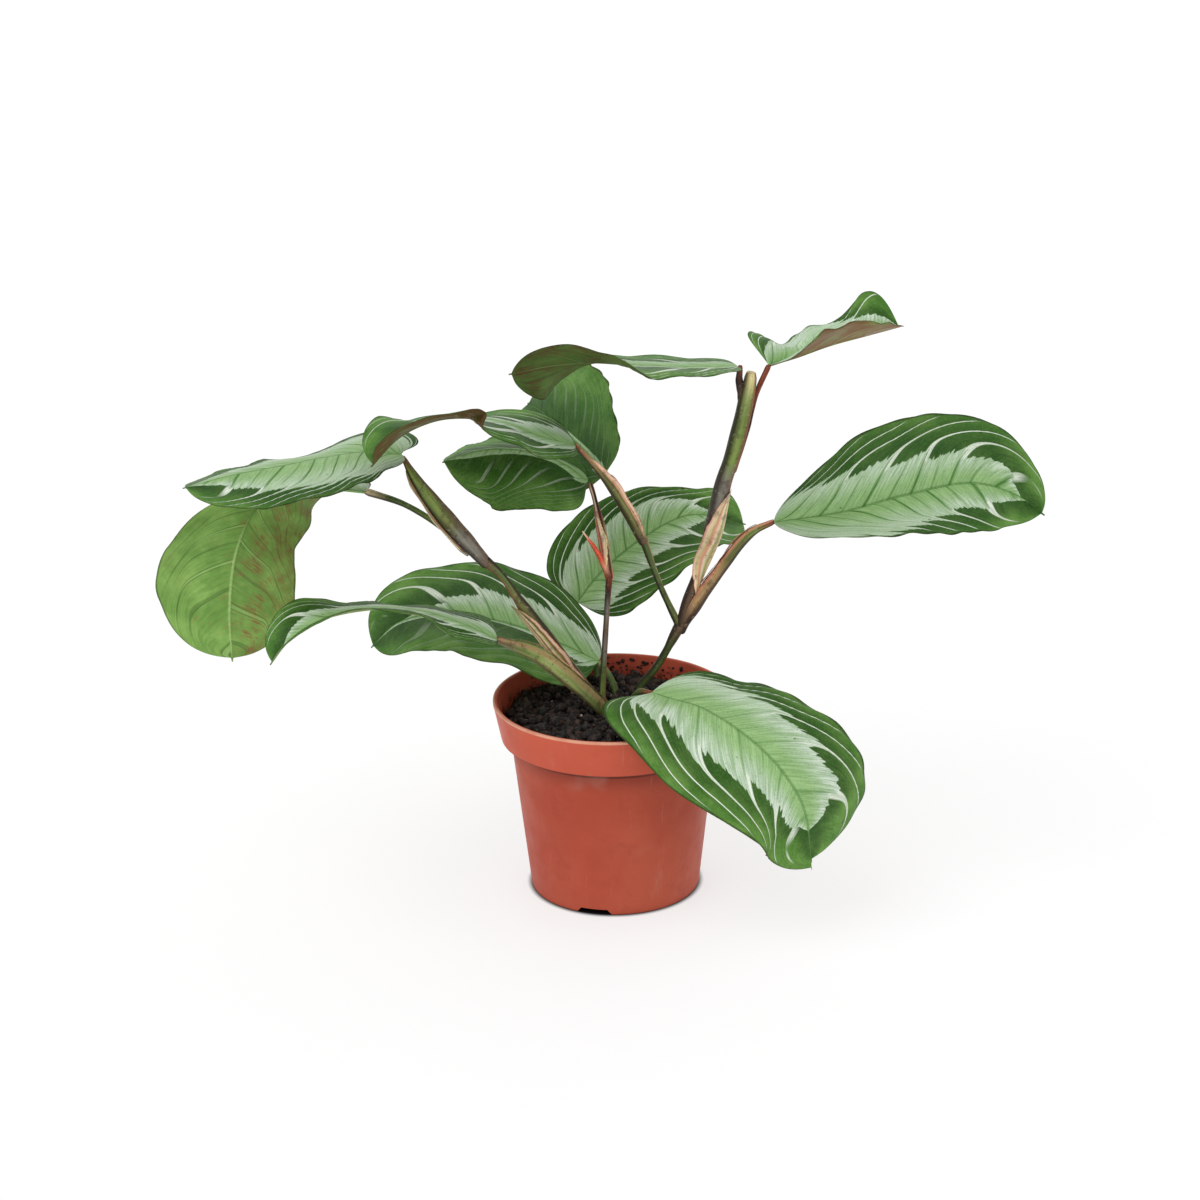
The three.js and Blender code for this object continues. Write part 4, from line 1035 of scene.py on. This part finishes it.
def leafShape(leaf, seed):
    place, s, v, width = leafSurface(leaf, seed)
    normal = facing(place)
    rows, columns = place.shape[0] - 1, place.shape[1] - 1
    line = columns + 1
    thin = leafDetail["thickness"] / 2 * (1 - 0.6 * v ** 6)[None, :, None]
    rib = leafDetail["rib"] * np.exp(-(v * width / 1.1) ** 2) * (1 - s[:, None]) ** 0.6
    top = place + normal * (thin - 0.35 * rib[..., None] * (s[:, None, None] > 0.01))
    bottom = place - normal * (thin + rib[..., None])
    points = np.vstack([top.reshape(-1, 3), bottom.reshape(-1, 3)])
    half = (rows + 1) * line
    i, j = np.meshgrid(np.arange(rows), np.arange(columns), indexing="ij")
    a = (i * line + j).ravel()
    quad = np.stack([a, a + 1, a + line + 1, a + line], 1)
    faces = np.vstack([quad, half + quad[:, ::-1]])
    rim = np.array(gridRim(rows, columns))
    after = np.roll(rim, -1)
    faces = np.vstack([faces, np.stack([rim, half + rim, half + after, after], 1)])
    # each face belongs to one half of the blade, so the two halves' veins do not blend at the midrib
    faceSide = np.where(np.arange(columns) < columns // 2, -1, 1)
    sides = np.concatenate([np.tile(faceSide, rows), np.tile(faceSide, rows),
                            np.sign((rim % line) - columns / 2 + 0.01)])
    corner = faces % half
    row, column = corner // line, corner % line
    cornerV, cornerS = v[column], s[row]
    cornerSide = np.repeat(sides[:, None], 4, axis=1)
    phase = veinPhase(leaf, cornerS, cornerV, cornerSide, seed)
    kinds = np.concatenate([np.zeros(len(quad)), np.ones(len(quad)), np.ones(len(rim))]).astype(int)
    onRight = cornerSide > 0
    band = np.where(onRight, along(leaf["bandRight"], s)[row], along(leaf["bandLeft"], s)[row])
    flush = np.where(onRight, leaf["flushRight"], leaf["flushLeft"])
    streak = np.where(onRight, leaf["streakRight"], leaf["streakLeft"])
    # the two halves' undersides blend into one another near the midrib
    flush = flush + ((leaf["flushRight"] + leaf["flushLeft"]) / 2 - flush) * (1 - np.minimum(1, 3 * cornerV))
    maps = {
        "leafMap": np.stack([cornerS, 0.5 + 0.5 * cornerV * cornerSide], -1),
        "veinMap": np.stack([phase, np.full_like(phase, seed)], -1),
        "bandMap": np.stack([np.maximum(band, 0), np.full_like(phase, leaf["silver"])], -1),
        "toneMap": np.stack([np.full_like(phase, leaf["deep"]), streak], -1),
        "dimMap": np.stack([np.full_like(phase, leaf["inner"]), np.full_like(phase, leaf["dim"])], -1),
        "underMap": np.stack([flush, np.full_like(phase, leaf["shade"])], -1),
    }
    return points, faces, kinds, maps


def leafPattern():
    # the blade's markings, worked out from how far along and across the leaf a point is
    group = bpy.data.node_groups.new("leafPattern", "ShaderNodeTree")
    for name in ("Map", "Veins", "Reach", "Tone", "Dim"):
        group.interface.new_socket(name, in_out="INPUT", socket_type="NodeSocketVector")
    for name in ("Band", "Silver", "White Vein", "Inner Vein", "Any Vein", "Midrib", "Dark", "Margin",
                 "Fibres", "Relief"):
        group.interface.new_socket(name, in_out="OUTPUT", socket_type="NodeSocketFloat")
    given, put = addNode(group, "NodeGroupInput"), addNode(group, "NodeGroupOutput")
    alongShare, acrossShare, _ = split(group, given.outputs["Map"])
    phase, seed, _ = split(group, given.outputs["Veins"])
    reach = split(group, given.outputs["Reach"])[0]
    signed = minus(group, times(group, acrossShare, 2), 1)
    v = calc(group, "ABSOLUTE", signed)
    step = calc(group, "FRACT", phase)
    near = minus(group, 0.5, calc(group, "ABSOLUTE", minus(group, step, 0.5)))
    flow = joinVector(group, times(group, phase, 9), times(group, signed, 3), seed)
    uneven = speckle(group, flow, 1.0, 3)
    fibreWay = joinVector(group, times(group, phase, 34), times(group, signed, 4), seed)
    fibres = speckle(group, fibreWay, 1.0, 2)
    deep, streak, _ = split(group, given.outputs["Tone"])
    # the band's edge steps in just past each side vein and is toothed along the fibres
    full = fade(group, reach, 0.05, 0.4)
    stepped = times(group, minus(group, calc(group, "POWER", step, 1.8), 0.36), 0.17)
    wander = plus(group, times(group, phase, 6.4), times(group, uneven, 2.2))
    tooth = calc(group, "ABSOLUTE", minus(group, calc(group, "FRACT", wander), 0.5))
    bite = times(group, minus(group, tooth, 0.25), fade(group, uneven, 0.35, 0.65, 0.06, 0.15))
    ragged = times(group, minus(group, fibres, 0.5), 0.022)
    offset = plus(group, plus(group, stepped, bite), ragged)
    edge = plus(group, reach, times(group, offset, full))
    past = minus(group, v, edge)
    band = fade(group, past, 0.009, -0.009)
    nearness = calc(group, "DIVIDE", v, calc(group, "MAXIMUM", edge, 0.02))
    silver = times(group, fade(group, nearness, 0.2, 0.9), fade(group, fibres, 0.3, 0.7, 0.5, 1.0))
    # white side veins outside the band, dull green ones inside it
    thin = fade(group, v, 0.4, 0.97, 0.11, 0.046)
    line = fade(group, calc(group, "DIVIDE", near, thin), 1.0, 0.62)
    white = times(group, line, fade(group, past, -0.05, 0.0))
    white = times(group, times(group, white, streak), fade(group, v, 0.975, 0.92))
    white = times(group, white, fade(group, v, 0.15, 0.4))
    # close to the tip only the outermost of them are left
    last = times(group, fade(group, alongShare, 0.84, 0.9), fade(group, v, 0.75, 0.6))
    white = times(group, minus(group, white, last, clamp=True), fade(group, alongShare, 0.97, 0.92))
    mainLine = fade(group, near, 0.07, 0.0)
    halfLine = fade(group, calc(group, "ABSOLUTE", minus(group, step, 0.5)), 0.05, 0.0, 0.0, 0.6)
    anyLine = times(group, calc(group, "MAXIMUM", mainLine, halfLine), fade(group, v, 1.0, 0.5))
    innerShare = split(group, given.outputs["Dim"])[0]
    inner = times(group, times(group, anyLine, innerShare), fade(group, nearness, 1.05, 0.5))
    rib = fade(group, v, 0.03, 0.008)
    dark = fade(group, past, calc(group, "MULTIPLY_ADD", deep, 0.45, 0.12), 0.08)
    dark = times(group, dark, fade(group, uneven, 0.25, 0.75, 0.7, 1.0))
    depth = calc(group, "MINIMUM", calc(group, "MULTIPLY_ADD", deep, 0.3, 0.58), 0.94)
    dark = times(group, times(group, dark, depth), fade(group, fibres, 0.25, 0.75, 0.72, 1.0))
    margin = fade(group, v, 0.966, 0.992)
    dip = plus(group, times(group, mainLine, -1.0), times(group, fibres, 0.6))
    relief = plus(group, dip, times(group, rib, -1.5))
    results = (band, silver, white, inner, anyLine, rib, dark, margin, fibres, relief)
    for value, socket in zip(results, put.inputs):
        link(group, value, socket)
    return group


leafTones = {
    "dark": (24, 62, 20), "middle": (84, 132, 52), "bright": (122, 166, 82),
    "bandGreen": (164, 202, 138), "bandSilver": (228, 240, 228), "white": (244, 252, 236),
    "innerVein": (84, 136, 60), "midrib": (92, 144, 66), "margin": (40, 46, 20),
    "underGreen": (152, 194, 102), "underDeep": (116, 160, 74), "underPurple": (138, 86, 56),
    "underVein": (70, 104, 42), "underRib": (170, 206, 124),
}


def patternNodes(tree, pattern):
    names = ("leafMap", "veinMap", "bandMap", "toneMap", "dimMap")
    maps = [addNode(tree, "ShaderNodeUVMap", uv_map=name).outputs[0] for name in names]
    node = addNode(tree, "ShaderNodeGroup", node_tree=pattern)
    for value, socket in zip(maps, node.inputs):
        link(tree, value, socket)
    return node.outputs, maps


def upperLook(pattern):
    material, tree, shader = newMaterial("leafUpper")
    marks, (_, _, bandMap, _, dimMap) = patternNodes(tree, pattern)
    where = objectPlace(tree)
    dim = split(tree, dimMap)[1]
    silverShare = split(tree, bandMap)[1]
    patches = speckle(tree, where, 60, 4, 0.6)
    tone = {name: photoColour(*value) for name, value in leafTones.items()}
    green = mixColour(tree, fade(tree, patches, 0.35, 0.7), tone["middle"], tone["bright"])
    green = mixColour(tree, marks["Dark"], green, tone["dark"])
    silver = times(tree, marks["Silver"], fade(tree, patches, 0.3, 0.65, 0.7, 1.0))
    paleBand = mixColour(tree, times(tree, silver, silverShare), tone["bandGreen"], tone["bandSilver"])
    paleBand = mixColour(tree, marks["Inner Vein"], paleBand, tone["innerVein"])
    colour = mixColour(tree, marks["Band"], green, paleBand)
    colour = mixColour(tree, marks["White Vein"], colour, tone["white"])
    colour = mixColour(tree, times(tree, marks["Midrib"], 0.6), colour, tone["midrib"])
    colour = mixColour(tree, times(tree, marks["Margin"], 0.7), colour, tone["margin"])
    fibres = fade(tree, marks["Fibres"], 0.3, 0.7, 0.36, 0.0)
    colour = mixColour(tree, fibres, colour, tone["middle"], "MULTIPLY")
    # a fine crisp mottle, as cells show on a real blade
    cells = speckle(tree, where, 900, 3, 0.7)
    colour = mixColour(tree, fade(tree, cells, 0.5, 0.7, 0.0, 0.24), colour, tone["dark"])
    colour = mixColour(tree, fade(tree, cells, 0.5, 0.32, 0.0, 0.14), colour, tone["bright"])
    specks = fade(tree, speckle(tree, where, 330, 2), 0.72, 0.76)
    colour = mixColour(tree, times(tree, specks, 0.6), colour, tone["margin"])
    # painted shade: the whole upper face darkened by the blade's dim share
    colour = mixColour(tree, dim, colour, tone["dark"])
    link(tree, colour, shader.inputs["Base Color"])
    link(tree, fade(tree, patches, 0.3, 0.7, 0.38, 0.52), shader.inputs["Roughness"])
    shader.inputs["Specular IOR Level"].default_value = 0.12
    roughen(tree, shader, marks["Relief"], 0.5, 0.0004)
    return material


def underLook(pattern):
    material, tree, shader = newMaterial("leafUnder")
    marks, (leafMap, *_) = patternNodes(tree, pattern)
    where = objectPlace(tree)
    underMap = addNode(tree, "ShaderNodeUVMap", uv_map="underMap").outputs[0]
    flush, shade, _ = split(tree, underMap)
    tone = {name: photoColour(*value) for name, value in leafTones.items()}
    patches = speckle(tree, where, 45, 5, 0.65)
    green = mixColour(tree, fade(tree, patches, 0.35, 0.7), tone["underDeep"], tone["underGreen"])
    stain = plus(tree, speckle(tree, where, 85, 6, 0.7), marks["Fibres"])
    spread = plus(tree, flush, times(tree, minus(tree, stain, 1.0), 1.6))
    spread = times(tree, fade(tree, spread, 0.3, 0.95), 0.92)
    # light side veins between darker lines of painted shade beside them, and a midrib that turns light
    # towards the tip
    lightLine = fade(tree, marks["Any Vein"], 0.5, 0.85)
    darkLine = minus(tree, fade(tree, marks["Any Vein"], 0.05, 0.45), lightLine, clamp=True)
    green = mixColour(tree, times(tree, darkLine, 0.55), green, tone["underVein"])
    colour = mixColour(tree, spread, green, tone["underPurple"])
    alongShare = split(tree, leafMap)[0]
    ribTone = mixColour(tree, fade(tree, alongShare, 0.35, 0.6), tone["underVein"], tone["underRib"])
    colour = mixColour(tree, times(tree, lightLine, 0.5), colour, tone["underRib"])
    colour = mixColour(tree, times(tree, marks["Midrib"], 0.9), colour, ribTone)
    fibres = fade(tree, marks["Fibres"], 0.25, 0.75, 0.35, 0.0)
    colour = mixColour(tree, fibres, colour, tone["middle"], "MULTIPLY")
    colour = mixColour(tree, times(tree, marks["Margin"], 0.6), colour, tone["margin"])
    # painted shade: undersides that sit in shade are darkened by their shade value
    colour = mixColour(tree, minus(tree, 1.0, shade), colour, (0.004, 0.006, 0, 1))
    link(tree, colour, shader.inputs["Base Color"])
    link(tree, fade(tree, patches, 0.3, 0.7, 0.45, 0.62), shader.inputs["Roughness"])
    shader.inputs["Specular IOR Level"].default_value = 0.2
    raised = times(tree, marks["Relief"], -1.0)
    roughen(tree, shader, raised, 0.5, 0.0005)
    return material


def makeLeaves():
    pattern = leafPattern()
    looks = [upperLook(pattern), underLook(pattern)]
    for number, given in enumerate(leaves):
        leaf = {**plainLeaf, **given}
        leaf["angleLeft"], leaf["angleRight"] = leaf.pop("left"), leaf.pop("right")
        seed = 1.37 * (number + 1)
        points, faces, kinds, maps = leafShape(leaf, seed)
        piece = makePiece(leaf["name"] + "Blade", points, faces.tolist(), looks, [leaf["name"]],
                          kinds)
        for name, values in maps.items():
            piece.data.uv_layers.new(name=name).data.foreach_set("uv", values.astype(np.float32).ravel())
    print("the leaves are laid out:", len(leaves))


makeLeaves()
